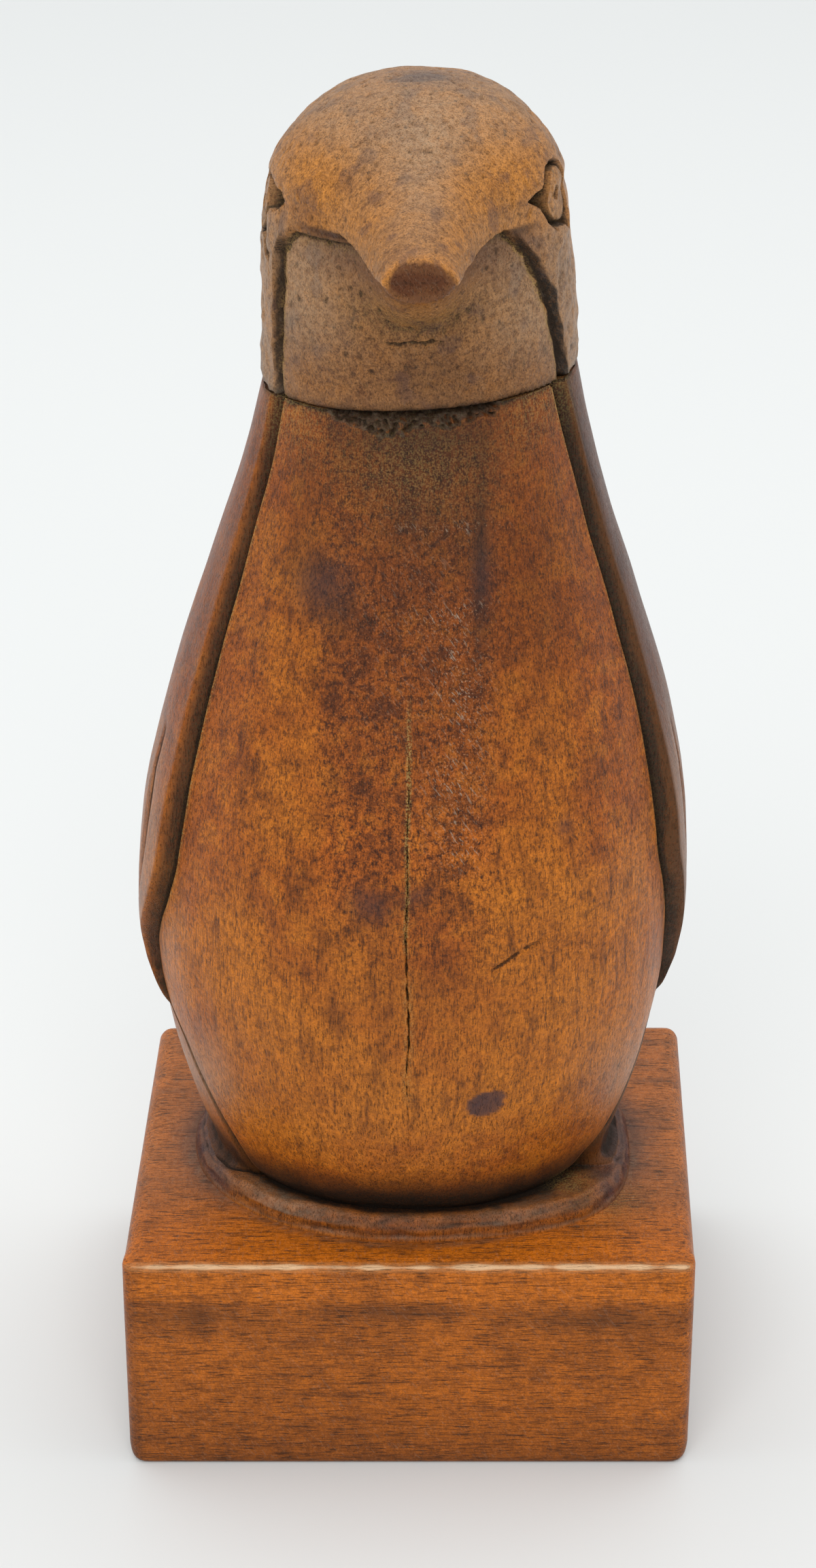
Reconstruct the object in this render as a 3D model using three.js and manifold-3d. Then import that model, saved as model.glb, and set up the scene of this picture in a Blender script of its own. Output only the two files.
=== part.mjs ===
// Carved wooden penguin on a plinth: a head, a body with two flippers in relief, and a plinth.
// Millimetres, +Z up, the bird faces -Y, and the origin is the centre of the plinth's underside.
import * as THREE from 'three';
import { mergeVertices } from 'three/addons/utils/BufferGeometryUtils.js';
import Module from 'manifold-3d';

const wasm = await Module();
wasm.setup();

// Driving sizes
const GAP = 0.3;
const LEFT = -1;
const RIGHT = 1;

// The plinth is a hand-cut block, a little out of square: its back stands to the right
const PLINTH_WIDTH = 63;
const PLINTH_DEPTH = 50.5;
const PLINTH_HEIGHT = 27;
const PLINTH_SKEW = 1.3;
const PLINTH_TOP_WEAR = 1.8;
const PLINTH_FOOT_WEAR = 0.5;
const PLINTH_CORNER_RADIUS = 1.6;

// The low collar round the bird's foot, and the cut between the collar and the belly
const COLLAR_HALF_WIDTH = 25;
const COLLAR_HALF_DEPTH = 20.4;
const COLLAR_HEIGHT = 2.5;
const COLLAR_LEAN = 1.1;
const COLLAR_FRONT_LEAN = 1.55;
const COLLAR_BEND_HEIGHT = 0.6;
const COLLAR_BEND_LEAN = 0.4;
const FOOT_CUT_HEIGHT = 29.2;

// The body's profiles, as [height, reach]: below the flippers, in front and behind
const BODY_SIDE = [
  [FOOT_CUT_HEIGHT, 20.2], [32, 22.7], [38, 24.9], [46, 26.9], [54, 28.1],
  [62, 28.5], [72, 27.9], [84, 25.8], [96, 22.6], [108, 19.0], [116, 16.9], [124, 15.3],
];
const BODY_FRONT = [
  [FOOT_CUT_HEIGHT, 17.2], [33, 19.6], [38, 21.7], [46, 23.6], [58, 24.8],
  [70, 24.4], [84, 22.0], [98, 18.6], [112, 15.2], [124, 13.4],
];
const BODY_BACK = [
  [FOOT_CUT_HEIGHT, 17.0], [33, 19.2], [38, 21.0], [46, 22.6], [58, 23.6],
  [70, 23.2], [84, 21.6], [98, 19.0], [112, 16.6], [124, 15.4],
];
const BODY_SWAY = [[27, -0.2], [40, -0.3], [56, -0.3], [84, 0.3], [124, 0.5]];
const SQUARENESS = 2.15;

// The flippers: the bearing of their front and rear edges from straight ahead, and how far they stand out
const FLIPPER_FRONT = {
  [LEFT]: [
    [28, 51.5], [33, 52], [36, 53.5], [39, 56], [42, 59], [45, 62.5], [47.5, 67],
    [49.5, 73], [51, 78.5], [53, 81], [56, 79.5], [61, 73], [65, 68], [70, 64.5], [76, 63.5], [126, 62.8],
  ],
  [RIGHT]: [
    [28, 57], [33, 58.5], [35.5, 64], [38.7, 68], [42.6, 70.5], [46, 74], [49, 79],
    [52, 82.5], [57, 79.5], [64, 74], [72, 68.5], [100, 67.3], [113, 65], [126, 58],
  ],
};
const FLIPPER_REAR = [
  [28, 118], [38, 108], [47, 94], [50, 93], [52, 101], [57, 112],
  [66, 121], [80, 127], [96, 127], [110, 122], [126, 116],
];
const FLIPPER_LIFT = [
  [49.6, 0.35], [51, 0.9], [54, 1.5], [60, 1.8],
  [74, 1.7], [92, 1.2], [108, 0.8], [126, 0.5],
];
const FLIPPER_TIP = 49.8;
const TIP_STEP = 0.2;
const REAR_STEP = 0.8;

// The cut along each flipper's front edge, which runs on to the foot and ends there in a notch
const EDGE_CUT_DEPTH = [
  [28, 1.2], [34, 1.1], [37, 0.6], [40, 0.35], [49, 0.35], [52, 0.6],
  [80, 0.6], [100, 0.8], [116, 1.1], [126, 1.1],
];
const EDGE_CUT_HALF_WIDTH = {
  [LEFT]: [[28, 0.9], [36, 0.8], [39, 0.55], [49, 0.5], [53, 0.75], [75, 0.85], [126, 0.95]],
  [RIGHT]: [[28, 2.2], [32, 2.1], [34, 1.7], [36, 1.1], [39, 0.7], [48, 0.6], [53, 0.85], [75, 1], [126, 1]],
};

// Long chip cuts that stand for feathers: share of the flipper's breadth, lowest and highest point
const FEATHER_CUTS = [[0.2, 58, 84], [0.42, 54, 80], [0.64, 56, 78], [0.84, 62, 80]];
const FEATHER_DEPTH = 0.8;
const FEATHER_HALF_WIDTH = 0.9;
const FEATHER_RUN_OUT = 0.06;

// The neck joint lies on a slant, higher on the bird's left hand and a little higher in front
const SEAM_HEIGHT = 122.4;
const SEAM_RISE_X = 0.062;
const SEAM_RISE_Y = -0.025;
const NECK_FROM = 106;

// The chipped filler just below the joint, in front: its depth and height rise and fall along it
const CHIP_HALF_WIDTH = 9.5;
const CHIP_DEPTH = 1;
const CHIP_HEIGHT = 2;
const CHIP_RAGGEDNESS = 0.22;
const CHIP_WAVE = 100;

// The skull is upright to its widest level and closes over it in a flattened dome
const CROWN_HEIGHT = 153;
const DOME_FROM = 134.8;
const DOME_SQUARENESS = 2.4;
const DOME_CLOSING = 0.9995;
const NECK_START = 119;
const SKULL_SIDE = [[120, 16.3], [128, 16.1], [136, 15.7]];
const SKULL_FRONT = [[120, 13.4], [126, 14.0], [131, 14.6], [136, 14.6]];
const SKULL_BACK = [[120, 15.4], [128, 15.8], [136, 16.2]];
const SKULL_SWAY = [[130, 0.5], [142, 0], [151, 0.9]];

// The throat is cut back between the two cheek lines, which turn in over it under the brow
const THROAT_EDGE = {
  [LEFT]: [[120, 60.5], [128, 61.5], [136.5, 61.5], [138.4, 57.5], [140.2, 51], [141.4, 41]],
  [RIGHT]: [[120, 63.5], [124, 62], [129, 57], [134, 52], [137, 47.5], [139.3, 41], [141.4, 34]],
};
const THROAT_START = 118;
const THROAT_BEND = 136;
const THROAT_TOP = 141.4;
const THROAT_CUT = [[120, 0.35], [130, 0.6], [137, 1.0], [141.4, 1.2]];
const CHEEK_CUT_DEPTH = 0.9;
const CHEEK_CUT_HALF_WIDTH = 0.6;
const CHEEK_CUT_SET_BACK = 1;

// The beak: half-width, ridge, mouth line and keel by distance in front, ending in a blunt broken tip
const BEAK_START = 5;
const BEAK_REACH = 32;
const BEAK_HALF_WIDTH = [[5, 13.6], [9, 11.2], [12, 8.9], [15, 7.1], [19, 5.8], [25, 4.5], [32, 3.5]];
const BEAK_RIDGE = [[5, 151.6], [9, 150.4], [14, 148.4], [20, 146.8], [26, 145.8], [32, 145.1]];
const BEAK_MOUTH = [[5, 141.4], [12, 141.3], [20, 141.2], [26, 141.6], [32, 142.7]];
const BEAK_KEEL = [[5, 131], [13, 131.6], [16, 133.2], [20, 136.4], [26, 139.2], [32, 140.9]];
const KEEL_SHARPNESS = [[10, 0.6], [18, 0.9], [32, 1.2]];
const MOUTH_LEDGE = [[5, 1.0], [12, 0.9], [24, 0.7], [32, 0.05]];
const MOUTH_STEP = 0.35;
const BEAK_SWAY = [[5, 0.5], [20, 0.2], [32, 0.4]];

// The eyes: a flat oval disc inside a cut line, with a chip-cut corner in front and a drilled pupil
const EYE_BEARING = { [LEFT]: 78, [RIGHT]: 63 };
const EYE_HEIGHT = 143.2;
const EYE_HALF_WIDTH = 2.35;
const EYE_HALF_HEIGHT = 3.2;
const EYE_LINE_DEPTH = 0.8;
const EYE_LINE_HALF_WIDTH = 0.5;
const EYE_CORNER_REACH = 3.4;
const EYE_CORNER_DEPTH = 1.5;
const EYE_CORNER_HALF_HEIGHT = 1.7;
const EYE_CORNER_BACK = 1.7;
const EYE_CORNER_DROP = 0.2;
const PUPIL_TURN = 2;
const PUPIL_DROP = 0.5;
const PUPIL_RADIUS = 0.65;
const PUPIL_DEPTH = 1.1;

// Facets
const BELLY_COLUMN = 6;
const BELLY_COLUMNS = 9;
const FLIPPER_COLUMNS = 8;
const BACK_COLUMNS = 7;
const LOWER_ROWS = 7;
const UPPER_ROWS = 22;
const TIP_CROWDING = 1.35;
const NECK_ROWS = 5;
const SKULL_COLUMNS = 64;
const CHEEK_STEPS = 12;
const CHIP_STEPS = 18;
const BEAK_STEPS = 12;
const EYE_SIDES = 14;
const PUPIL_SIDES = 10;

// How far a cutting shape stands out past the surface it cuts
const CUT_CLEARANCE = 0.5;
const THROAT_CLEARANCE = 2.5;

const DEGREE = Math.PI / 180;
const SAMPLE = 0.5;
const UP = new THREE.Vector3(0, 0, 1);

// A smooth curve through [at, value] stations that never overshoots them
function ease(stations, at) {
  const last = stations.length - 1;
  if (at <= stations[0][0]) return stations[0][1];
  if (at >= stations[last][0]) return stations[last][1];
  const slope = (i) => (stations[i + 1][1] - stations[i][1]) / (stations[i + 1][0] - stations[i][0]);
  const lean = (i) => {
    if (i === 0) return slope(0);
    if (i === last) return slope(last - 1);
    const before = slope(i - 1);
    const after = slope(i);
    return before * after > 0 ? (2 * before * after) / (before + after) : 0;
  };
  let k = 0;
  while (stations[k + 1][0] < at) k += 1;
  const run = stations[k + 1][0] - stations[k][0];
  const s = (at - stations[k][0]) / run;
  const rise = s * s * (3 - 2 * s);
  const into = s * (1 - s) * (1 - s) * run * lean(k);
  const outOf = s * s * (1 - s) * run * lean(k + 1);
  return stations[k][1] * (1 - rise) + stations[k + 1][1] * rise + into - outOf;
}

// A point on a rounded section: bearing in degrees from straight ahead, positive to the right
function sectionPoint(bearing, side, front, back, squareness = SQUARENESS) {
  const across = Math.sin(bearing * DEGREE);
  const ahead = Math.cos(bearing * DEGREE);
  const round = (Math.abs(across) ** squareness + Math.abs(ahead) ** squareness) ** (-1 / squareness);
  return [side * across * round, -(ahead > 0 ? front : back) * ahead * round];
}

function seamHeight(x, y) {
  return SEAM_HEIGHT + SEAM_RISE_X * x + SEAM_RISE_Y * y;
}

// The bare body at a bearing and height, moved out by lift
function bodyPoint(bearing, height, lift = 0) {
  const side = ease(BODY_SIDE, height) + lift;
  const front = ease(BODY_FRONT, height) + lift;
  const back = ease(BODY_BACK, height) + lift;
  const [x, y] = sectionPoint(bearing, side, front, back);
  return new THREE.Vector3(x + ease(BODY_SWAY, height), y, height);
}

// The skull and neck at a bearing and height, moved out by lift
function skullPoint(bearing, height, lift = 0) {
  const climb = THREE.MathUtils.clamp((height - DOME_FROM) / (CROWN_HEIGHT - DOME_FROM), 0, 1);
  const close = (1 - climb ** DOME_SQUARENESS) ** (1 / DOME_SQUARENESS);
  const side = ease(SKULL_SIDE, height) * close + lift;
  const front = ease(SKULL_FRONT, height) * close + lift;
  const back = ease(SKULL_BACK, height) * close + lift;
  const [x, y] = sectionPoint(bearing, side, front, back);
  return new THREE.Vector3(x + ease(SKULL_SWAY, height), y, height);
}

// A frame on a surface: its point, the direction of growing bearing, upwards along it, and outwards
function surfaceFrame(surface, bearing, height) {
  const point = surface(bearing, height);
  const along = surface(bearing + SAMPLE, height).sub(surface(bearing - SAMPLE, height)).normalize();
  const upward = surface(bearing, height + SAMPLE).sub(surface(bearing, height - SAMPLE)).normalize();
  const outward = along.clone().cross(upward).normalize();
  return { point, along, upward, outward };
}

// A closed shell through rings of equal, even length
function loft(rings, closed = false) {
  const positions = [];
  const index = [];
  const count = rings[0].length;
  for (const ring of rings) {
    for (const point of ring) positions.push(point.x, point.y, point.z);
  }
  const face = (a, b, c) => index.push(a, b, c);
  const spans = closed ? rings.length : rings.length - 1;
  for (let i = 0; i < spans; i += 1) {
    const low = i * count;
    const high = ((i + 1) % rings.length) * count;
    for (let j = 0; j < count; j += 1) {
      const next = (j + 1) % count;
      face(low + j, low + next, high + next);
      face(low + j, high + next, high + j);
    }
  }
  const cap = (start, flip) => {
    for (let j = 0; j < count / 2 - 1; j += 1) {
      const corners = [start + j, start + j + 1, start + count - 2 - j, start + count - 1 - j];
      if (flip) corners.reverse();
      face(corners[0], corners[1], corners[2]);
      face(corners[0], corners[2], corners[3]);
    }
  };
  if (!closed) {
    cap(0, true);
    cap((rings.length - 1) * count, false);
  }
  const geometry = new THREE.BufferGeometry();
  geometry.setAttribute('position', new THREE.Float32BufferAttribute(positions, 3));
  geometry.setIndex(index);
  return geometry;
}

// Geometry to a solid: shared corners merged, flat triangles dropped, all faces turned outwards
function solid(geometry) {
  const bare = geometry.clone();
  bare.deleteAttribute('normal');
  bare.deleteAttribute('uv');
  const merged = mergeVertices(bare, 1e-4);
  const corners = Array.from(merged.index.array);
  const place = (i) => new THREE.Vector3().fromBufferAttribute(merged.attributes.position, i);
  const kept = [];
  let volume = 0;
  for (let i = 0; i < corners.length; i += 3) {
    const [a, b, c] = corners.slice(i, i + 3);
    if (a !== b && b !== c && c !== a) kept.push(a, b, c);
    volume += place(a).dot(place(b).cross(place(c)));
  }
  if (volume < 0) kept.reverse();
  return new wasm.Manifold(new wasm.Mesh({
    numProp: 3,
    vertProperties: new Float32Array(merged.attributes.position.array),
    triVerts: new Uint32Array(kept),
  }));
}

function geometryOf(manifold) {
  const mesh = manifold.getMesh();
  const geometry = new THREE.BufferGeometry();
  geometry.setAttribute('position', new THREE.BufferAttribute(new Float32Array(mesh.vertProperties), 3));
  geometry.setIndex(new THREE.BufferAttribute(new Uint32Array(mesh.triVerts), 1));
  geometry.computeVertexNormals();
  return geometry;
}

function ringOf(count, pointAt) {
  return Array.from({ length: count }, (unused, j) => pointAt((360 * (j + 0.5)) / count - 180));
}

function spread(from, to, steps) {
  return Array.from({ length: steps + 1 }, (unused, i) => from + ((to - from) * i) / steps);
}

// Plinth: four sides with rounded corners, and worn top and bottom edges
function plinthRing(height, inset) {
  const ring = [];
  const radius = PLINTH_CORNER_RADIUS;
  const corners = [[1, -1, -90], [1, 1, 0], [-1, 1, 90], [-1, -1, 180]];
  for (const [sideX, sideY, turn] of corners) {
    for (const step of spread(0, 90, 3)) {
      const angle = (turn + step) * DEGREE;
      const y = sideY * (PLINTH_DEPTH / 2 - radius) + (radius - inset) * Math.sin(angle);
      const x = sideX * (PLINTH_WIDTH / 2 - radius) + (radius - inset) * Math.cos(angle);
      ring.push(new THREE.Vector3(x + (PLINTH_SKEW * y) / PLINTH_DEPTH, y, height));
    }
  }
  return ring;
}

function buildPlinth() {
  const rings = [];
  for (const angle of spread(0, 90, 2)) {
    const inset = PLINTH_FOOT_WEAR * (1 - Math.sin(angle * DEGREE));
    rings.push(plinthRing(PLINTH_FOOT_WEAR * (1 - Math.cos(angle * DEGREE)), inset));
  }
  const topWear = Math.min(PLINTH_TOP_WEAR, PLINTH_CORNER_RADIUS - 0.1);
  for (const angle of spread(0, 90, 3)) {
    const inset = topWear * (1 - Math.cos(angle * DEGREE));
    rings.push(plinthRing(PLINTH_HEIGHT - PLINTH_TOP_WEAR * (1 - Math.sin(angle * DEGREE)), inset));
  }
  return solid(loft(rings));
}

// Body columns on one side, from front to back: each a bearing and how far it stands out
function bodyColumns(hand, height) {
  const front = ease(FLIPPER_FRONT[hand], height);
  const rear = ease(FLIPPER_REAR, height);
  const lift = height < FLIPPER_TIP ? 0 : ease(FLIPPER_LIFT, height);
  const perDegree = bodyPoint(hand * front + 1, height).distanceTo(bodyPoint(hand * front, height));
  const lip = ease(EDGE_CUT_HALF_WIDTH[hand], height) / perDegree;
  const innerLip = front - lip;
  const outerLip = front + lip;
  const rearFoot = rear + REAR_STEP / perDegree;
  const flat = (bearing) => [bearing, 0];
  const raised = (bearing) => [bearing, lift];
  return [
    ...spread(BELLY_COLUMN / 2, innerLip, BELLY_COLUMNS).map(flat),
    [front, -ease(EDGE_CUT_DEPTH, height)],
    ...spread(outerLip, rear, FLIPPER_COLUMNS).map(raised),
    ...spread(rearFoot, 180 - BELLY_COLUMN / 2, BACK_COLUMNS).map(flat),
  ];
}

function bodyRing(height) {
  const place = (hand) => ([bearing, lift]) => bodyPoint(hand * bearing, height, lift);
  const rightHalf = bodyColumns(RIGHT, height).map(place(RIGHT));
  const leftHalf = bodyColumns(LEFT, height).map(place(LEFT));
  return [...rightHalf, ...leftHalf.reverse()];
}

// The collar follows the body's columns, so that the cut above it closes cleanly
function collarRing(inset, height) {
  return bodyRing(FOOT_CUT_HEIGHT).map((point) => {
    const bearing = Math.atan2(point.x, -point.y) / DEGREE;
    const side = COLLAR_HALF_WIDTH - inset;
    const front = COLLAR_HALF_DEPTH - COLLAR_FRONT_LEAN * inset;
    const [x, y] = sectionPoint(bearing, side, front, front);
    return new THREE.Vector3(x + ease(BODY_SWAY, height), y, height);
  });
}

// Body: the collar's flank, the cut above it, then the belly and neck up to the slanted joint
function bodyShell() {
  const foot = PLINTH_HEIGHT + GAP;
  const rings = [
    collarRing(0, foot),
    collarRing(COLLAR_BEND_LEAN * COLLAR_LEAN, foot + COLLAR_BEND_HEIGHT * COLLAR_HEIGHT),
    collarRing(COLLAR_LEAN, foot + COLLAR_HEIGHT),
  ];
  const flipperHeight = NECK_FROM - FLIPPER_TIP;
  const lower = spread(FOOT_CUT_HEIGHT, FLIPPER_TIP - TIP_STEP, LOWER_ROWS);
  const upper = spread(0, 1, UPPER_ROWS).map((s) => FLIPPER_TIP + flipperHeight * s ** TIP_CROWDING);
  for (const height of [...lower, ...upper]) rings.push(bodyRing(height));
  for (const s of spread(0, 1, NECK_ROWS).slice(1)) {
    const ring = bodyRing(NECK_FROM + (SEAM_HEIGHT - NECK_FROM) * s);
    for (const point of ring) {
      const top = seamHeight(point.x, point.y) - GAP / 2;
      point.z = NECK_FROM + (top - NECK_FROM) * s;
    }
    rings.push(ring);
  }
  return solid(loft(rings));
}

// One V-shaped section of a cut; its walls run on straight above the surface
function cutSection({ point, outward }, away, halfWidth, depth) {
  const at = (aside, out) => point.clone().addScaledVector(away, aside).addScaledVector(outward, out);
  const open = halfWidth * (1 + CUT_CLEARANCE / depth);
  return [at(-open, CUT_CLEARANCE), at(0, -depth), at(open, CUT_CLEARANCE), at(0, 2 * CUT_CLEARANCE)];
}

// A long chip cut, deepest at its middle and running out at both ends
function featherCut(hand, [share, low, high]) {
  const rings = spread(0, 1, 6).map((s) => {
    const height = low + (high - low) * s;
    const front = ease(FLIPPER_FRONT[hand], height);
    const rear = ease(FLIPPER_REAR, height);
    const lift = ease(FLIPPER_LIFT, height);
    const raised = (bearing, level) => bodyPoint(bearing, level, lift);
    const bearing = hand * (front + (rear - front) * share);
    const swell = Math.sin(Math.PI * THREE.MathUtils.clamp(s, FEATHER_RUN_OUT, 1 - FEATHER_RUN_OUT));
    const frame = surfaceFrame(raised, bearing, height);
    return cutSection(frame, frame.along, FEATHER_HALF_WIDTH * swell, FEATHER_DEPTH * swell);
  });
  return solid(loft(rings));
}

// The bearing on the body at which a place lies this far to the right of its middle line
function bearingAcross(across, height) {
  const side = ease(BODY_SIDE, height);
  const front = ease(BODY_FRONT, height);
  const ahead = front * (1 - Math.abs(across / side) ** SQUARENESS) ** (1 / SQUARENESS);
  return Math.atan2(across / side, ahead / front) / DEGREE;
}

// The ragged notch under the joint
function seamChip() {
  const rings = spread(-1, 1, CHIP_STEPS).map((s, i) => {
    const ragged = 1 - CHIP_RAGGEDNESS + CHIP_RAGGEDNESS * Math.sin(i * CHIP_WAVE * DEGREE);
    const size = ragged * Math.cos(s * 85 * DEGREE);
    const frame = surfaceFrame(bodyPoint, bearingAcross(s * CHIP_HALF_WIDTH, SEAM_HEIGHT), SEAM_HEIGHT);
    const top = seamHeight(frame.point.x, frame.point.y) + CUT_CLEARANCE;
    const at = (out, drop) => {
      const place = frame.point.clone().addScaledVector(frame.outward, out);
      return place.setZ(top - drop);
    };
    const drop = CUT_CLEARANCE + CHIP_HEIGHT * size;
    const inner = -CHIP_DEPTH * size;
    return [at(inner, 0), at(inner, drop / 2), at(CUT_CLEARANCE, drop), at(CUT_CLEARANCE, 0)];
  });
  return solid(loft(rings));
}

function buildBody() {
  let body = bodyShell();
  for (const hand of [LEFT, RIGHT]) {
    for (const cut of FEATHER_CUTS) body = body.subtract(featherCut(hand, cut));
  }
  return body.subtract(seamChip());
}

// The skull with its upright neck
function skull() {
  const upright = spread(NECK_START, DOME_FROM, 6);
  const dome = spread(0, 90, 10).slice(1).map((angle) => {
    const climb = Math.sin(angle * DEGREE) ** (2 / DOME_SQUARENESS);
    return DOME_FROM + (CROWN_HEIGHT - DOME_FROM) * Math.min(climb, DOME_CLOSING);
  });
  const rings = [...upright, ...dome].map((height) => (
    ringOf(SKULL_COLUMNS, (bearing) => skullPoint(bearing, height))
  ));
  return solid(loft(rings));
}

// What is cut away in front to set the throat back under the cheeks and the brow
function throatCut() {
  const lower = spread(THROAT_START, THROAT_BEND, 6);
  const upper = spread(THROAT_BEND, THROAT_TOP, 6).slice(1);
  const rings = [...lower, ...upper].map((height) => {
    const left = -ease(THROAT_EDGE[LEFT], height);
    const right = ease(THROAT_EDGE[RIGHT], height);
    const bearings = spread(left, right, 14);
    const inner = bearings.map((bearing) => skullPoint(bearing, height, -ease(THROAT_CUT, height)));
    const outer = bearings.map((bearing) => skullPoint(bearing, height, THROAT_CLEARANCE));
    return [...outer, ...inner.reverse()];
  });
  return solid(loft(rings));
}

// The beak: a rounded ridge above the mouth line, and a narrower keel set in below it
function beak() {
  const distances = spread(BEAK_START, BEAK_REACH, BEAK_STEPS);
  const rings = distances.map((distance) => {
    const half = ease(BEAK_HALF_WIDTH, distance);
    const ridge = ease(BEAK_RIDGE, distance);
    const mouth = ease(BEAK_MOUTH, distance);
    const keel = ease(BEAK_KEEL, distance);
    const lower = half - ease(MOUTH_LEDGE, distance);
    const lip = mouth - MOUTH_STEP;
    const sway = ease(BEAK_SWAY, distance);
    const at = (x, z) => new THREE.Vector3(x + sway, -distance, z);
    const above = spread(0, 180, 12).map((angle) => (
      at(half * Math.cos(angle * DEGREE), mouth + (ridge - mouth) * Math.sin(angle * DEGREE))
    ));
    const below = spread(180, 360, 8).map((angle) => {
      const drop = Math.abs(Math.sin(angle * DEGREE)) ** ease(KEEL_SHARPNESS, distance);
      return at(lower * Math.cos(angle * DEGREE), lip - (lip - keel) * drop);
    });
    return [...above, ...below];
  });
  return solid(loft(rings));
}

function cheekCut(hand) {
  const rings = spread(THROAT_START, THROAT_TOP - CHEEK_CUT_SET_BACK, CHEEK_STEPS).map((height) => {
    const bearing = ease(THROAT_EDGE[hand], height) + CHEEK_CUT_SET_BACK;
    const frame = surfaceFrame(skullPoint, hand * bearing, height);
    return cutSection(frame, frame.along, CHEEK_CUT_HALF_WIDTH, CHEEK_CUT_DEPTH);
  });
  return solid(loft(rings));
}

// The cut line round the eye's disc
function eyeLine(hand) {
  const eye = surfaceFrame(skullPoint, hand * EYE_BEARING[hand], EYE_HEIGHT);
  const perDegree = skullPoint(hand * EYE_BEARING[hand] + 1, EYE_HEIGHT).distanceTo(eye.point);
  const rings = spread(0, 360 - 360 / EYE_SIDES, EYE_SIDES - 1).map((angle) => {
    const across = Math.cos(angle * DEGREE);
    const rise = Math.sin(angle * DEGREE);
    const bearing = hand * EYE_BEARING[hand] + (EYE_HALF_WIDTH * across) / perDegree;
    const height = EYE_HEIGHT + EYE_HALF_HEIGHT * rise * eye.upward.z;
    const away = eye.along.clone().multiplyScalar(across).addScaledVector(eye.upward, rise);
    return cutSection(surfaceFrame(skullPoint, bearing, height), away, EYE_LINE_HALF_WIDTH, EYE_LINE_DEPTH);
  });
  return solid(loft(rings, true));
}

// The three-cornered chip in front of the eye
function eyeCorner(hand) {
  const bearing = hand * EYE_BEARING[hand];
  const eye = surfaceFrame(skullPoint, bearing, EYE_HEIGHT - EYE_CORNER_DROP);
  const forward = eye.along.clone().multiplyScalar(-hand);
  const at = (ahead, rise, out) => {
    const place = eye.point.clone().addScaledVector(forward, ahead);
    return place.addScaledVector(UP, rise).addScaledVector(eye.outward, out);
  };
  const rim = (out) => [
    at(EYE_HALF_WIDTH + EYE_CORNER_REACH, 0, out),
    at(EYE_CORNER_BACK, EYE_CORNER_HALF_HEIGHT, out),
    at(EYE_CORNER_BACK, 0, out),
    at(EYE_CORNER_BACK, -EYE_CORNER_HALF_HEIGHT, out),
  ];
  const pit = at(EYE_HALF_WIDTH, 0, -EYE_CORNER_DEPTH);
  return solid(loft([[pit, pit, pit, pit], rim(0), rim(THROAT_CLEARANCE)]));
}

function pupil(hand) {
  const eye = surfaceFrame(skullPoint, hand * (EYE_BEARING[hand] + PUPIL_TURN), EYE_HEIGHT - PUPIL_DROP);
  const drill = new THREE.CylinderGeometry(PUPIL_RADIUS, PUPIL_RADIUS, 2 * PUPIL_DEPTH, PUPIL_SIDES);
  const drillAxis = new THREE.Vector3(0, 1, 0);
  drill.applyQuaternion(new THREE.Quaternion().setFromUnitVectors(drillAxis, eye.outward));
  drill.translate(eye.point.x, eye.point.y, eye.point.z);
  return solid(drill);
}

// A block of all that lies below the joint's slanted plane
function belowSeam() {
  const half = PLINTH_WIDTH;
  const corner = (x, y, drop) => new THREE.Vector3(x, y, seamHeight(x, y) + GAP / 2 - drop);
  const sides = [[1, -1], [1, 1], [-1, 1], [-1, -1]];
  const level = (drop) => sides.map(([sideX, sideY]) => corner(sideX * half, sideY * half, drop));
  return solid(loft([level(half), level(0)]));
}

function buildHead() {
  let head = skull().subtract(throatCut()).add(beak());
  head = head.subtract(belowSeam());
  for (const hand of [LEFT, RIGHT]) {
    head = head.subtract(cheekCut(hand));
    head = head.subtract(eyeLine(hand));
    head = head.subtract(eyeCorner(hand));
    head = head.subtract(pupil(hand));
  }
  return head;
}

const bodyWood = new THREE.MeshStandardMaterial({ color: 0x8a4a26, roughness: 0.5, metalness: 0 });
const headWood = new THREE.MeshStandardMaterial({ color: 0x7d5636, roughness: 0.5, metalness: 0 });
const plinthWood = new THREE.MeshStandardMaterial({ color: 0x93552a, roughness: 0.45, metalness: 0 });

function named(name, manifold, material) {
  const mesh = new THREE.Mesh(geometryOf(manifold), material);
  mesh.name = name;
  return mesh;
}

const penguin = new THREE.Group();
penguin.add(named('plinth', buildPlinth(), plinthWood));
penguin.add(named('body', buildBody(), bodyWood));
penguin.add(named('head', buildHead(), headWood));

export default penguin;
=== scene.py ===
"""The looks of a carved wooden penguin: plinth, body and head, their waxed, worn woods, and a plain studio.

Lengths of the carving are in millimetres, +Z is up and the bird faces -Y. A bearing is an angle in degrees
round an upright axis from straight ahead, positive to the viewer's right.
"""
import logging
import math
from dataclasses import dataclass, field
from enum import Enum

import bmesh
import bpy
import numpy as np
from mathutils import Matrix, Vector, noise


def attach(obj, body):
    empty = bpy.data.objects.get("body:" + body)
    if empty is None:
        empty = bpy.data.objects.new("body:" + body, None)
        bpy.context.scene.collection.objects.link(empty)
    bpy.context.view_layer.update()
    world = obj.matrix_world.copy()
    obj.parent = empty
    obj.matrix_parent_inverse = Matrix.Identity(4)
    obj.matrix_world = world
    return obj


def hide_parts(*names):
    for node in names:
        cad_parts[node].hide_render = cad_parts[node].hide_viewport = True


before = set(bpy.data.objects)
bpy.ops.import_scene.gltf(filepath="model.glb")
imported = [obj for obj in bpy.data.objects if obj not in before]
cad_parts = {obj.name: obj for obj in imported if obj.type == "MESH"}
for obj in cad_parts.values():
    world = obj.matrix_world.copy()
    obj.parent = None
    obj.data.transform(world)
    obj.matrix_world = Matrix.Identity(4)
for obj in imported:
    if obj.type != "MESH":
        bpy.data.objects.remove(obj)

LOG = logging.getLogger("penguin")
MM = 0.001

# Half of the gap that the visual model leaves in the neck joint
JOINT_GAP = 0.03

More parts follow.
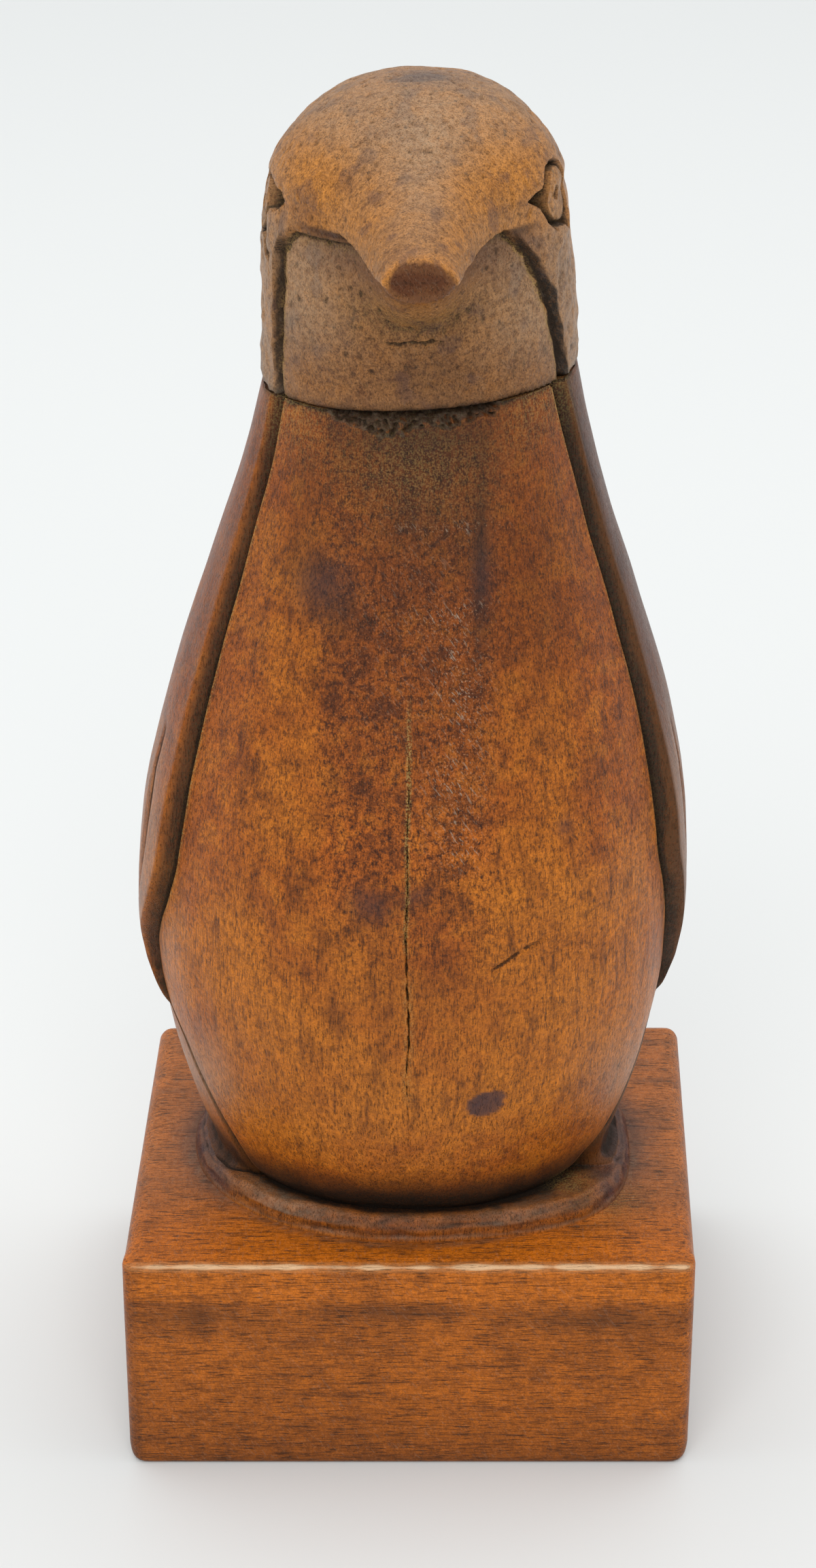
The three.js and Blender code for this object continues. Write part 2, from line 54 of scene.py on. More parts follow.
Array = np.ndarray
Socket = bpy.types.NodeSocket
Colour = tuple[float, float, float]
Span = tuple[float, float]
Place = tuple[float, float]
Point = tuple[float, float, float]
Details = dict[str, Array]


class Hand(Enum):
    """A side of the carving, as its sign along X."""

    LEFT = -1
    RIGHT = 1


class Profile:
    """A smooth curve through (place, value) stations that never overshoots them."""

    def __init__(self, *stations: tuple[float, float]) -> None:
        """Works out the slope at each station.

        Args:
            stations: Places in rising order, each with its value.
        """
        self.places = np.array([place for place, _ in stations], float)
        self.values = np.array([value for _, value in stations], float)
        self.runs = np.diff(self.places)
        slopes = np.diff(self.values) / self.runs
        before, after = slopes[:-1], slopes[1:]
        both = before + after
        same_way = before * after > 0
        middle = np.where(same_way, 2 * before * after / np.where(same_way, both, 1), 0)
        self.leans = np.concatenate([slopes[:1], middle, slopes[-1:]])

    def __call__(self, at: Array | float) -> Array:
        """The curve's value at each place, held level beyond its ends.

        Args:
            at: The places.

        Returns:
            The values.
        """
        at = np.clip(np.asarray(at, float), self.places[0], self.places[-1])
        k = np.clip(np.searchsorted(self.places, at, side="right") - 1, 0, len(self.runs) - 1)
        run = self.runs[k]
        s = (at - self.places[k]) / run
        rise = s * s * (3 - 2 * s)
        into = s * (1 - s) ** 2 * run * self.leans[k]
        out_of = s * s * (1 - s) * run * self.leans[k + 1]
        return self.values[k] * (1 - rise) + self.values[k + 1] * rise + into - out_of


def ramp(value: Array | float, low: float, high: float) -> Array:
    """A smooth step from 0 at low to 1 at high."""
    s = np.clip((np.asarray(value, float) - low) / (high - low), 0, 1)
    return s * s * (3 - 2 * s)


def stations(*pairs: tuple[float, float]) -> Profile:
    """A dataclass field that holds a profile through these stations."""
    return field(default_factory=lambda: Profile(*pairs))


@dataclass(frozen=True)
class Spot:
    """A soft oval patch on a carving, looked at from in front or from above."""

    strength: float
    across: float
    up: float
    half_width: float
    half_height: float
    turn: float = 0

    def at(self, x: Array, z: Array) -> Array:
        """The patch's strength, which fades outside its half-width and half-height.

        Args:
            x: Places across.
            z: Places upwards or, from above, forwards.

        Returns:
            The strength at each place.
        """
        c, s = math.cos(math.radians(self.turn)), math.sin(math.radians(self.turn))
        along = ((x - self.across) * c + (z - self.up) * s) / self.half_width
        over = ((z - self.up) * c - (x - self.across) * s) / self.half_height
        return self.strength * np.exp(-(along**2 + over**2))


Spots = tuple[Spot, ...]


def patches(x: Array, z: Array, spots: Spots) -> Array:
    """The strength of several patches together at each place."""
    return sum(spot.at(x, z) for spot in spots)


def ridge(value: Array, middle: float, half: float) -> Array:
    """1 where a value is at its middle, falling to 0 within about twice the half-width."""
    return np.exp(-(((value - middle) / half) ** 2))


def stroke(x: Array, z: Array, start: Place, end: Place) -> tuple[Array, Array]:
    """How far points lie from a straight stroke, seen from in front.

    Args:
        x: Places across.
        z: Places upwards.
        start: The stroke's start.
        end: Its end.

    Returns:
        The distance from its line, signed upwards, and the share along it, which may pass 0 or 1.
    """
    run = np.subtract(end, start)
    length = float(np.hypot(*run))
    along = ((x - start[0]) * run[0] + (z - start[1]) * run[1]) / length
    off = ((z - start[1]) * run[0] - (x - start[0]) * run[1]) / length
    return off, along / length


def rough(points: Array, size: tuple[float, float, float], seed: float = 0) -> Array:
    """Smooth noise of about -1 to 1 at each point.

    Args:
        points: Places in millimetres, one row each.
        size: The noise's grain along X, Y and Z in millimetres.
        seed: Moves the noise, so that two uses differ.

    Returns:
        One value for each point.
    """
    scaled = points / np.array(size) + seed
    return np.array([noise.noise(Vector(p)) for p in scaled]) * 1.6


def smooth_union(a: Array, b: Array, radius: Array | float) -> Array:
    """The union of two fields, with a fillet of about this radius between them."""
    h = np.clip(0.5 + 0.5 * (b - a) / radius, 0, 1)
    return b * (1 - h) + a * h - radius * h * (1 - h)


def smooth_cut(a: Array, b: Array, radius: Array | float) -> Array:
    """The common part of two fields, with its edge rounded to about this radius."""
    return -smooth_union(-a, -b, radius)


def inside_of(u: Array, v: Array, outline: tuple[Place, ...]) -> Array:
    """How far points lie inside a closed outline.

    Args:
        u: Places across.
        v: Places upwards.
        outline: The outline's corners in turn.

    Returns:
        The distance to the outline, positive inside it.
    """
    corners = np.array(outline, float)
    nearest = np.full(len(u), np.inf)
    inside = np.zeros(len(u), bool)
    for (u0, v0), (u1, v1) in zip(corners, np.roll(corners, -1, 0)):
        du, dv = u1 - u0, v1 - v0
        along = np.clip(((u - u0) * du + (v - v0) * dv) / (du * du + dv * dv), 0, 1)
        nearest = np.minimum(nearest, np.hypot(u - u0 - along * du, v - v0 - along * dv))
        rising = (v0 > v) != (v1 > v)
        inside ^= rising & (u < u0 + (v - v0) * du / np.where(dv == 0, 1, dv))
    return np.where(inside, nearest, -nearest)


class Value:
    """A number that varies over a surface, for use in Python expressions."""

    def __init__(self, graph: "Graph", socket: Socket) -> None:
        """Keeps what the value belongs to.

        Args:
            graph: The material's nodes.
            socket: The socket that gives the value.
        """
        self.graph = graph
        self.socket = socket

    def math(self, operation: str, *others: "Value | float") -> "Value":
        """This value and others through one Math node.

        Args:
            operation: What the node does.
            others: The values it takes after this one.

        Returns:
            The result.
        """
        inputs = dict(enumerate([self, *others]))
        made = self.graph.node("ShaderNodeMath", {"operation": operation}, inputs)
        return Value(self.graph, made.outputs[0])

    def __add__(self, other: "Value | float") -> "Value":
        """The sum."""
        return self.math("ADD", other)

    __radd__ = __add__

    def __mul__(self, other: "Value | float") -> "Value":
        """The product."""
        return self.math("MULTIPLY", other)

    __rmul__ = __mul__

    def __sub__(self, other: "Value | float") -> "Value":
        """The difference."""
        return self.math("SUBTRACT", other)

    def __rsub__(self, other: float) -> "Value":
        """The difference, from a number."""
        return (self * -1) + other

    def step(self, low: float, high: float) -> "Value":
        """A smooth step of this value.

        Args:
            low: Where the result is 0, which may be the larger.
            high: Where it is 1.

        Returns:
            The result.
        """
        settings = {"interpolation_type": "SMOOTHSTEP"}
        inputs = {"Value": self, "From Min": low, "From Max": high}
        made = self.graph.node("ShaderNodeMapRange", settings, inputs)
        return Value(self.graph, made.outputs[0])


class Graph:
    """The nodes of one material."""

    def __init__(self, name: str) -> None:
        """Makes a material with nothing in it.

        Args:
            name: The material's name.
        """
        self.material = bpy.data.materials.new(name)
        self.material.use_nodes = True
        self.tree = self.material.node_tree
        self.tree.nodes.clear()

    def node(self, kind: str, settings: dict, inputs: dict) -> bpy.types.Node:
        """Adds any node.

        Args:
            kind: The node's type.
            settings: Its properties, which are set first.
            inputs: A number, a colour, a socket or a Value for each input, by name or place.

        Returns:
            The node.
        """
        made = self.tree.nodes.new(kind)
        for key, value in settings.items():
            setattr(made, key, value)
        for key, value in inputs.items():
            if isinstance(value, Value):
                value = value.socket
            if isinstance(value, bpy.types.NodeSocket):
                self.tree.links.new(value, made.inputs[key])
            else:
                made.inputs[key].default_value = value
        return made

    def attribute(self, name: str) -> Value:
        """A number kept at the mesh's points."""
        return Value(self, self.node("ShaderNodeAttribute", {"attribute_name": name}, {}).outputs["Fac"])

    def place(self, scale: tuple[float, float, float], turn: float = 0) -> Socket:
        """The object's own coordinates in millimetres.

        Args:
            scale: How far they are stretched along each axis.
            turn: How far they are turned about Y before that, in degrees.

        Returns:
            The coordinates' socket.
        """
        origin = self.node("ShaderNodeTexCoord", {}, {}).outputs["Object"]
        inputs = {"Vector": origin, "Rotation": (0, math.radians(turn), 0)}
        turned = self.node("ShaderNodeMapping", {}, inputs).outputs[0]
        sizes = tuple(value / MM for value in scale)
        return self.node("ShaderNodeMapping", {}, {"Vector": turned, "Scale": sizes}).outputs[0]

    def noise(
        self, at: Socket, scale: float, detail: float, roughness: float = 0.5, warp: float = 0
    ) -> Value:
        """Cloudy noise of about 0.3 to 0.7.

        Args:
            at: Its coordinates.
            scale: Its grains for each unit of them.
            detail: How many finer layers it has.
            roughness: How strong those are.
            warp: How far it is distorted.

        Returns:
            The noise.
        """
        inputs = {"Vector": at, "Scale": scale, "Detail": detail, "Roughness": roughness, "Distortion": warp}
        return Value(self, self.node("ShaderNodeTexNoise", {}, inputs).outputs[0])

    def mix(self, share: Value, low: Socket | Colour, high: Colour) -> Socket:
        """A mix of two colours.

        Args:
            share: The share of the second, held between 0 and 1.
            low: The first colour.
            high: The second colour.

        Returns:
            The mixed colour.
        """
        both = [value if isinstance(value, bpy.types.NodeSocket) else (*value, 1) for value in (low, high)]
        settings = {"data_type": "RGBA", "blend_type": "MIX", "clamp_factor": True}
        return self.node("ShaderNodeMix", settings, {0: share, 6: both[0], 7: both[1]}).outputs[2]

    def scale(self, colour: Socket, amount: Value) -> Socket:
        """A colour made lighter or darker."""
        inputs = {0: colour, "Scale": amount}
        return self.node("ShaderNodeVectorMath", {"operation": "SCALE"}, inputs).outputs[0]


@dataclass(frozen=True)
class Wood:
    """A waxed, handled and dusty wood.

    The colours are linear. Its mesh carries the shares of each kind of mark at its points. Streaks, mottle,
    pores and fibres say how strong each of these is, and relief is the height of the grain in millimetres.
    Some marks paint light and shade into the colour: shade in hollows, cuts and eyes, under overhangs and
    round the body's foot, sheen on sides and tops, and a highlight along the plinth's front edge.
    """

    name: str
    deep: Colour
    plain: Colour
    warm: Colour
    grain: tuple[float, float, float]
    # Near-black for soot, dirt and pores, and for painted shade
    soot: Colour = (0.020, 0.012, 0.007)
    dust: Colour = (0.40, 0.25, 0.075)
    stain: Colour = (0.060, 0.030, 0.032)
    pale: Colour = (0.52, 0.24, 0.09)
    # A pale grey film: old wax on the body's ledge, and painted sheen
    haze: Colour = (0.34, 0.24, 0.16)
    scuff: Colour = (0.46, 0.34, 0.24)
    # The painted highlight along the plinth's front upper edge
    painted_edge_highlight: Colour = (0.80, 0.50, 0.27)
    gloss: float = 0.35
    specular: float = 0.22
    relief: float = 0.2
    streaks: float = 0.5
    mottle: float = 0.5
    pores: float = 0.5
    fibres: float = 0.40

    def build(self) -> bpy.types.Material:
        """Makes the material.

        Returns:
            A material that reads the object's own coordinates and its point attributes.
        """
        g = Graph(self.name)
        level = g.place((1, 1, 1))
        along = g.place(self.grain)
        slanted = g.place((5, 1, 1), 35)
        cloud = g.noise(level, 0.09, 3, 0.55)
        patch = g.noise(level, 0.36, 4, 0.6, 0.5)
        speckle = g.noise(level, 1.7, 4, 0.7)
        grit = g.noise(level, 5.0, 2, 0.6)
        streak = g.noise(along, 0.8, 4, 0.6)
        fibre = g.noise(along, 3.4, 3, 0.65)
        pore = g.noise(along, 6.5, 2, 0.6).step(0.575, 0.66)
        scratch = g.noise(slanted, 0.9, 2, 0.6, 0.3).step(0.60, 0.66)
        hollow = g.attribute("cavity")
        # cut darkens the hollows with painted shade and dirt; worn lightens ridges, which is wear on the body
        # and head and a painted highlight along the plinth's front edge
        cut = hollow.step(0.010, 0.08)
        worn = hollow.step(-0.012, -0.08)
        soot = g.attribute("soot")
        dust = g.attribute("dust")
        scuff = g.attribute("scuff")
        mottle = g.attribute("mottle") * self.mottle
        fine = grit.step(0.36, 0.64)
        medium = speckle.step(0.36, 0.64)

        # The wood's own colours, from its large clouds down to its grain and specks, and darker places that
        # are partly painted shade
        colour = g.mix((cloud * 1.9 + g.attribute("warm") * 1.1 - 0.85).step(0, 1), self.plain, self.warm)
        colour = g.mix(streak.step(0.50, 0.32) * self.streaks, colour, self.deep)
        colour = g.mix(patch.step(0.50, 0.34) * (mottle * 0.65 + 0.1), colour, self.deep)
        colour = g.mix(patch.step(0.50, 0.68) * 0.5, colour, self.warm)
        tone = fibre.step(0.34, 0.66) * self.fibres
        tone = tone + fine * (mottle * 0.5 + 0.22) + medium * (mottle * 0.6 + 0.2)
        colour = g.scale(colour, tone + (0.79 - self.fibres / 2) - mottle * 0.42)
        colour = g.mix(speckle.step(0.47, 0.33) * mottle, colour, self.deep)
        # Darker places: partly the wood's own, partly painted shade under the beak and round the body's foot
        colour = g.mix(g.attribute("dark") * (0.55 + patch * 0.9), colour, self.deep)
        colour = g.mix(grit.step(0.60, 0.72) * mottle * 0.55, colour, self.pale)
        colour = g.mix(pore * self.pores, colour, self.soot)

        # What lies on it, broken up by its specks: soot with painted shade, stains, wax with painted sheen,
        # worn ridges, a painted highlight on the plinth's edge, painted shade in hollows, scuffs and dust
        # Soot and dirt, with painted shade in the cuts and the eyes, under the brow and the beak's edges, and
        # under the belly round its foot
        colour = g.mix(soot * (speckle * 0.8 + grit * 1.0 + 0.05), colour, self.soot)
        colour = g.mix(g.attribute("stain") * (0.55 + patch * 0.7), colour, self.stain)
        # Old wax, pale lines, and painted sheen on the flippers' edges, the lower sides, the head and the
        # plinth's top
        colour = g.mix(g.attribute("haze") * (0.3 + medium * 0.35), colour, self.haze)
        # Lighter ridges: wear on the body and head, and, with the next colour, the painted highlight along
        # the plinth's front edge
        colour = g.mix(worn * 0.40, colour, self.pale)
        colour = g.mix(hollow.step(-0.11, -0.19), colour, self.painted_edge_highlight)
        # Painted shade with dirt in the hollows
        colour = g.mix(cut * 0.8, colour, self.soot)
        colour = g.mix(scuff * (scratch + grit.step(0.60, 0.68) * 0.7), colour, self.scuff)
        colour = g.mix(dust * (grit.step(0.44, 0.60) * 1.1), colour, self.dust)

        height = fibre * 0.5 + speckle * (mottle * 0.8 + 0.5) + grit * 0.3 - pore * 0.6
        height = height + scratch * scuff * 0.5
        inputs = {"Strength": 0.8, "Distance": self.relief * MM, "Height": height}
        bump = g.node("ShaderNodeBump", {}, inputs).outputs[0]
        dull = self.gloss + (speckle * 0.3 - 0.15) + cut * 0.3 + soot * 0.2 + dust * 0.25 - worn * 0.08
        inputs = {"Base Color": colour, "Roughness": dull, "Normal": bump}
        shader = g.node("ShaderNodeBsdfPrincipled", {}, {**inputs, "Specular IOR Level": self.specular})
        g.node("ShaderNodeOutputMaterial", {}, {"Surface": shader.outputs[0]})
        return g.material


class Carving:
    """A mesh that is shaped point by point in code, from a primitive that a Blender operator adds."""

    def __init__(self, name: str) -> None:
        """Takes the primitive that was added last.

        Args:
            name: The name it gets.
        """
        self.piece = bpy.context.active_object
        self.piece.name = name
        self.piece.data.name = name

    @property
    def points(self) -> Array:
        """The mesh's points.

        Returns:
            Their places in millimetres, one row each.
        """
        flat = np.empty(len(self.piece.data.vertices) * 3)
        self.piece.data.vertices.foreach_get("co", flat)
        return flat.reshape(-1, 3) / MM

    @points.setter
    def points(self, places: Array) -> None:
        """Moves the mesh's points to these places in millimetres."""
        self.piece.data.vertices.foreach_set("co", (places * MM).ravel())
        self.piece.data.update()

    @property
    def normals(self) -> Array:
        """The mesh's directions outwards.

        Returns:
            The direction at each point, one row each.
        """
        flat = np.empty(len(self.piece.data.vertices) * 3, np.float32)
        self.piece.data.vertex_normals.foreach_get("vector", flat)
        return flat.reshape(-1, 3).astype(float)

    def averaged(self, values: Array, rounds: int) -> Array:
        """Values blurred over the mesh.

        Args:
            values: One row for each point.
            rounds: How many times each point takes its neighbours' mean.

        Returns:
            The blurred values.
        """
        ends = np.empty(len(self.piece.data.edges) * 2, np.int32)
        self.piece.data.edges.foreach_get("vertices", ends)
        first, second = ends[0::2], ends[1::2]
        count = np.bincount(ends, minlength=len(values))
        values = values.astype(float).reshape(len(values), -1)
        for _ in range(rounds):
            sums = np.zeros_like(values)
            for k in range(values.shape[1]):
                sums[:, k] += np.bincount(first, values[second, k], len(values))
                sums[:, k] += np.bincount(second, values[first, k], len(values))
            values = 0.5 * values + 0.5 * sums / count[:, None]
        return values

    def mark(self, name: str, values: Array) -> None:
        """Keeps one number at each point, for a material.

        Args:
            name: The mark's name.
            values: A number for each point, or one for all.
        """
        kept = self.piece.data.attributes
        made = kept.get(name) or kept.new(name, "FLOAT", "POINT")
        spread = np.broadcast_to(values, len(self.piece.data.vertices))
        made.data.foreach_set("value", spread.astype(np.float32))

    def mark_shares(self, **shares: Array) -> None:
        """Keeps marks that are shares from 0 to 1, each under its own name."""
        for name, values in shares.items():
            self.mark(name, np.clip(values, 0, 1))

    def read(self, name: str) -> Array:
        """A mark that the mesh keeps.

        Args:
            name: The mark's name.

        Returns:
            Its value at each point.
        """
        values = np.empty(len(self.piece.data.vertices), np.float32)
        self.piece.data.attributes[name].data.foreach_get("value", values)
        return values.astype(float)

    def refine(self, near: Array) -> None:
        """Halves the mesh wherever all the points of a face are near something fine.

        Args:
            near: Whether each point is near.
        """
        bpy.ops.object.mode_set(mode="EDIT")
        bpy.ops.mesh.select_mode(type="VERT")
        bpy.ops.mesh.select_all(action="DESELECT")
        bpy.ops.object.mode_set(mode="OBJECT")
        self.piece.data.vertices.foreach_set("select", near)
        bpy.ops.object.mode_set(mode="EDIT")
        bpy.ops.mesh.subdivide(number_cuts=1, ngon=False)
        bpy.ops.object.mode_set(mode="OBJECT")

    def mark_cavity(self, rounds: int = 8) -> Array:
        """Marks how far each point lies below its surroundings, in millimetres.

        Args:
            rounds: How widely the surroundings are averaged.

        Returns:
            The depths, negative on ridges.
        """
        places = self.points
        depth = ((self.averaged(places, rounds) - places) * self.normals).sum(1)
        depth = self.averaged(depth, 1).ravel()
        self.mark("cavity", depth)
        return depth

    def finish(self, node: str, slot: str, finish: Wood, angle: float) -> bpy.types.Object:
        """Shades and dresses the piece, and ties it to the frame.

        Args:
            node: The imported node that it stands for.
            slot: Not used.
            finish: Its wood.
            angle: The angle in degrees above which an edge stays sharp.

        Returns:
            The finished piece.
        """
        bpy.ops.object.select_all(action="DESELECT")
        self.piece.select_set(True)
        bpy.context.view_layer.objects.active = self.piece
        bpy.ops.object.shade_smooth_by_angle(angle=math.radians(angle))
        self.piece.data.materials.clear()
        self.piece.data.materials.append(finish.build())
        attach(self.piece, "root")
        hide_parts(node)
        LOG.info("%s: %d faces", self.piece.name, len(self.piece.data.polygons))
        return self.piece


def start_sphere(
    name: str, columns: int, rows: int, pole: Matrix = Matrix.Identity(4)
) -> tuple[Carving, Array, Array]:
    """Adds a sphere as the start of a carving.

    Args:
        name: The piece's name.
        columns: Its segments.
        rows: Its rings between the two poles.
        pole: A turn that brings its upper pole where it should be.

    Returns:
        The carving, and for each point its ring, from 0 at the upper pole, and its segment.
    """
    bpy.ops.object.select_all(action="DESELECT")
    bpy.ops.mesh.primitive_uv_sphere_add(segments=columns, ring_count=rows + 1, radius=MM)
    carving = Carving(name)
    x, y, z = carving.points.T
    ring = np.rint(np.arccos(np.clip(z, -1, 1)) / math.pi * (rows + 1)).astype(int)
    segment = np.rint((np.degrees(np.arctan2(x, -y)) + 180) / 360 * columns).astype(int) % columns
    carving.piece.data.transform(pole)
    return carving, ring, segment


@dataclass
class Section:
    """Upright stations of a rounded section: how far it reaches to the side, in front and behind."""

    side: Profile
    front: Profile
    back: Profile
    sway: Profile
    squareness: float = 2.15

    def place(self, bearing: Array, height: Array, lift: Array | float = 0) -> Array:
        """Points at bearings and heights.

        Args:
            bearing: Bearings in degrees.
            height: Heights.
            lift: How far the section stands out there.

        Returns:
            The points, one row each.
        """
        across, ahead = np.sin(np.radians(bearing)), np.cos(np.radians(bearing))
        power = self.squareness
        spread = (np.abs(across) ** power + np.abs(ahead) ** power) ** (-1 / power)
        reach = np.where(ahead > 0, self.front(height), self.back(height)) + lift
        x = (self.side(height) + lift) * across * spread + self.sway(height)
        return np.stack([x, -reach * ahead * spread, height + np.zeros_like(x)], -1)

    def pace(self, bearing: Array, height: Array) -> Array:
        """The length of one degree along the section."""
        return np.linalg.norm(self.place(bearing + 0.5, height) - self.place(bearing - 0.5, height), axis=-1)


@dataclass
class Seam:
    """The slanted plane of the neck joint."""

    height: float = 122.4
    rise_x: float = 0.062
    rise_y: float = -0.025

    def level(self, x: Array, y: Array) -> Array:
        """The plane's height over each place."""
        return self.height + self.rise_x * x + self.rise_y * y


@dataclass
class Plinth:
    """The sawn block: a cube whose fine faces are rounded, worn and set a little out of square."""

    width: float = 62.98
    depth: float = 50.5
    height: float = 27.0
    skew: float = 1.3
    top_radius: float = 1.6
    front_radius: float = 0.55
    foot_radius: float = 0.55
    corner_radius: float = 1.5
    foot_corner: float = 2.4
    lean: float = 0.4
    lean_from: float = 22.4
    # Half-width of the painted highlight along the front's upper edge
    edge_highlight_width: float = 0.6
    ring: Span = (25.3, 20.7)
    streaks: Spots = (
        Spot(0.5, -24, 20.5, 6, 1.6), Spot(0.5, -2, 21.0, 7, 1.3), Spot(0.5, 20, 20, 9, 1.5))
    dust: Spots = (Spot(0.5, 21, -12, 4, 4),)
    cuts: int = 72

    def build(self) -> bpy.types.Object:
        """Makes the plinth.

        Returns:
            The finished piece.
        """
        bpy.ops.object.select_all(action="DESELECT")
        bpy.ops.mesh.primitive_cube_add(size=2 * MM)
        carving = Carving("plinth_block")
        bpy.ops.object.mode_set(mode="EDIT")
        bpy.ops.mesh.select_all(action="SELECT")
        bpy.ops.mesh.subdivide(number_cuts=self.cuts)
        bpy.ops.object.mode_set(mode="OBJECT")
        half = np.array([self.width, self.depth, self.height]) / 2
        unit = carving.points
        crowded = np.sign(unit) * (1 - np.clip(1 - np.abs(unit), 0, 1) ** 1.25)
        box = (0.35 * unit + 0.65 * crowded) * half
        places = self.rounded(box, half)
        places[:, 2] += self.height / 2
        self.wear(places)
        places[:, 0] += self.skew * places[:, 1] / self.depth
        places = np.clip(places, [-self.width, -self.depth / 2, 0], [self.width, self.depth / 2, self.height])
        carving.points = places
        self.stain(carving)
        return carving.finish("plinth", "plinth_wood", PLINTH_WOOD, 60)

    def rounded(self, box: Array, half: Array) -> Array:
        """Rounds the block's edges.

        Args:
            box: Points of the sharp block.
            half: Its half sizes.

        Returns:
            The same points, moved onto rounded edges.
        """
        upper = box[:, 2] > 0
        front = ramp(-box[:, 1], half[1] - 5.5, half[1] - 1.5)
        upper_radius = self.top_radius + (self.front_radius - self.top_radius) * front
        radius = np.where(upper, upper_radius, self.foot_radius)
        corner = np.maximum(self.corner_radius, radius)
        inner = half - corner[:, None]
        inner[:, 2] = half[2] - radius
        core = np.clip(box, -inner, inner)
        out = box - core
        side = np.hypot(out[:, 0], out[:, 1])
        spread = np.where(side > 0, corner / np.maximum(side, 1e-9), 0)
        flat = np.minimum(1, np.abs(out[:, :2]).max(1) / corner)
        out[:, :2] *= (spread * flat)[:, None]
        share = np.abs(out[:, 2]) / radius
        tilt = np.arctan2(share, np.maximum(flat, 1e-9))
        size = np.maximum(share, flat)
        drop = radius * (flat - size * np.cos(tilt))
        length = np.maximum(np.hypot(out[:, 0], out[:, 1]), 1e-9)
        out[:, :2] *= (1 - drop / length)[:, None] * (length > 1e-6)[:, None]
        out[:, 2] = np.sign(out[:, 2]) * radius * size * np.sin(tilt)
        return core + out

    def wear(self, places: Array) -> None:
        """Leans the front's upper edge back and adds the unevenness of handling, in place.

        Args:
            places: The block's points.
        """
        front = ramp(-places[:, 1], self.depth / 2 - 3, self.depth / 2 - 0.5)
        top = np.clip((places[:, 2] - self.lean_from) / (self.height - self.lean_from), 0, 1)
        places[:, 1] += front * top * self.lean
        drop = np.clip(1 - places[:, 2] / self.foot_corner, 0, 1)
        places[:, 0] *= 1 - 0.8 * (1 - np.sqrt(1 - drop**2)) / self.width * 2
        wave = rough(places, (9, 9, 6), 3)
        edge = ramp(np.abs(places[:, 0]), self.width / 2 - 3, self.width / 2)
        edge = np.maximum(edge, ramp(np.abs(places[:, 1]), self.depth / 2 - 3, self.depth / 2))
        places[:, 2] -= 0.12 * (1 + wave) * edge * ramp(places[:, 2], self.height - 3, self.height)

    def stain(self, carving: Carving) -> None:
        """Marks the dirt, dust and stains, the darker corners and foot, and painted light: a highlight along
        the front's upper edge, light on the top and on the front's upper band, contact shade where the collar
        stands and sheen on the top's rear.

        Args:
            carving: The plinth.
        """
        x, y, z = carving.points.T
        edge = np.hypot(y + self.depth / 2 - 0.5, z - self.height + 0.15)
        # A painted highlight along the front's upper edge, kept as a negative cavity so that it takes the
        # pale and highlight colours
        painted_highlight = ridge(edge, 0, self.edge_highlight_width) * (0.85 + 0.3 * rough(carving.points, (2.5, 4, 4), 61))
        top = ramp(z, self.height - 1, self.height - 0.2)
        ring = np.hypot(x / self.ring[0], (y + 0.2) / self.ring[1])
        band = ramp(z, self.lean_from - 0.2, self.lean_from + 0.3) * (1 - top)
        carving.mark("cavity", -0.24 * painted_highlight)
        # Painted light: the top, most towards its front, and the leaning band at the front's upper edge are
        # warmer and lighter; less warm towards the bottom
        warm = top * (0.25 + 0.45 * ramp(y, -12, -21)) + 0.55 * band - 0.1 * ramp(z, 9, 2)
        carving.mark("warm", 0.15 + warm)
        # Dirt with painted contact shade in a ring where the collar stands on the top, and darker along the
        # very bottom
        dirt_and_shade = 0.5 * ridge(ring, 1, 0.035) * top + 0.3 * ramp(z, 2.0, 0)
        carving.mark_shares(
            soot=dirt_and_shade + patches(x, z, self.streaks) * (y < -20),
            dust=patches(x, y, self.dust) * top,
            stain=0.55 * top * ramp(ring, 1.16, 1.0) * ramp(np.abs(x), 19, 23),
            # Painted sheen on the top's rear half, and a pale line round the collar's foot
            haze=0.35 * top * (ramp(y, -22, -6) + ridge(ring, 1.015, 0.012) * (y < 0)),
            dark=0.25 * ramp(z, 8, 1) + 0.35 * ramp(np.abs(x), 30.2, 31.3) * (1 - top),
            mottle=np.array(0.5),
            scuff=np.array(0.1),
        )


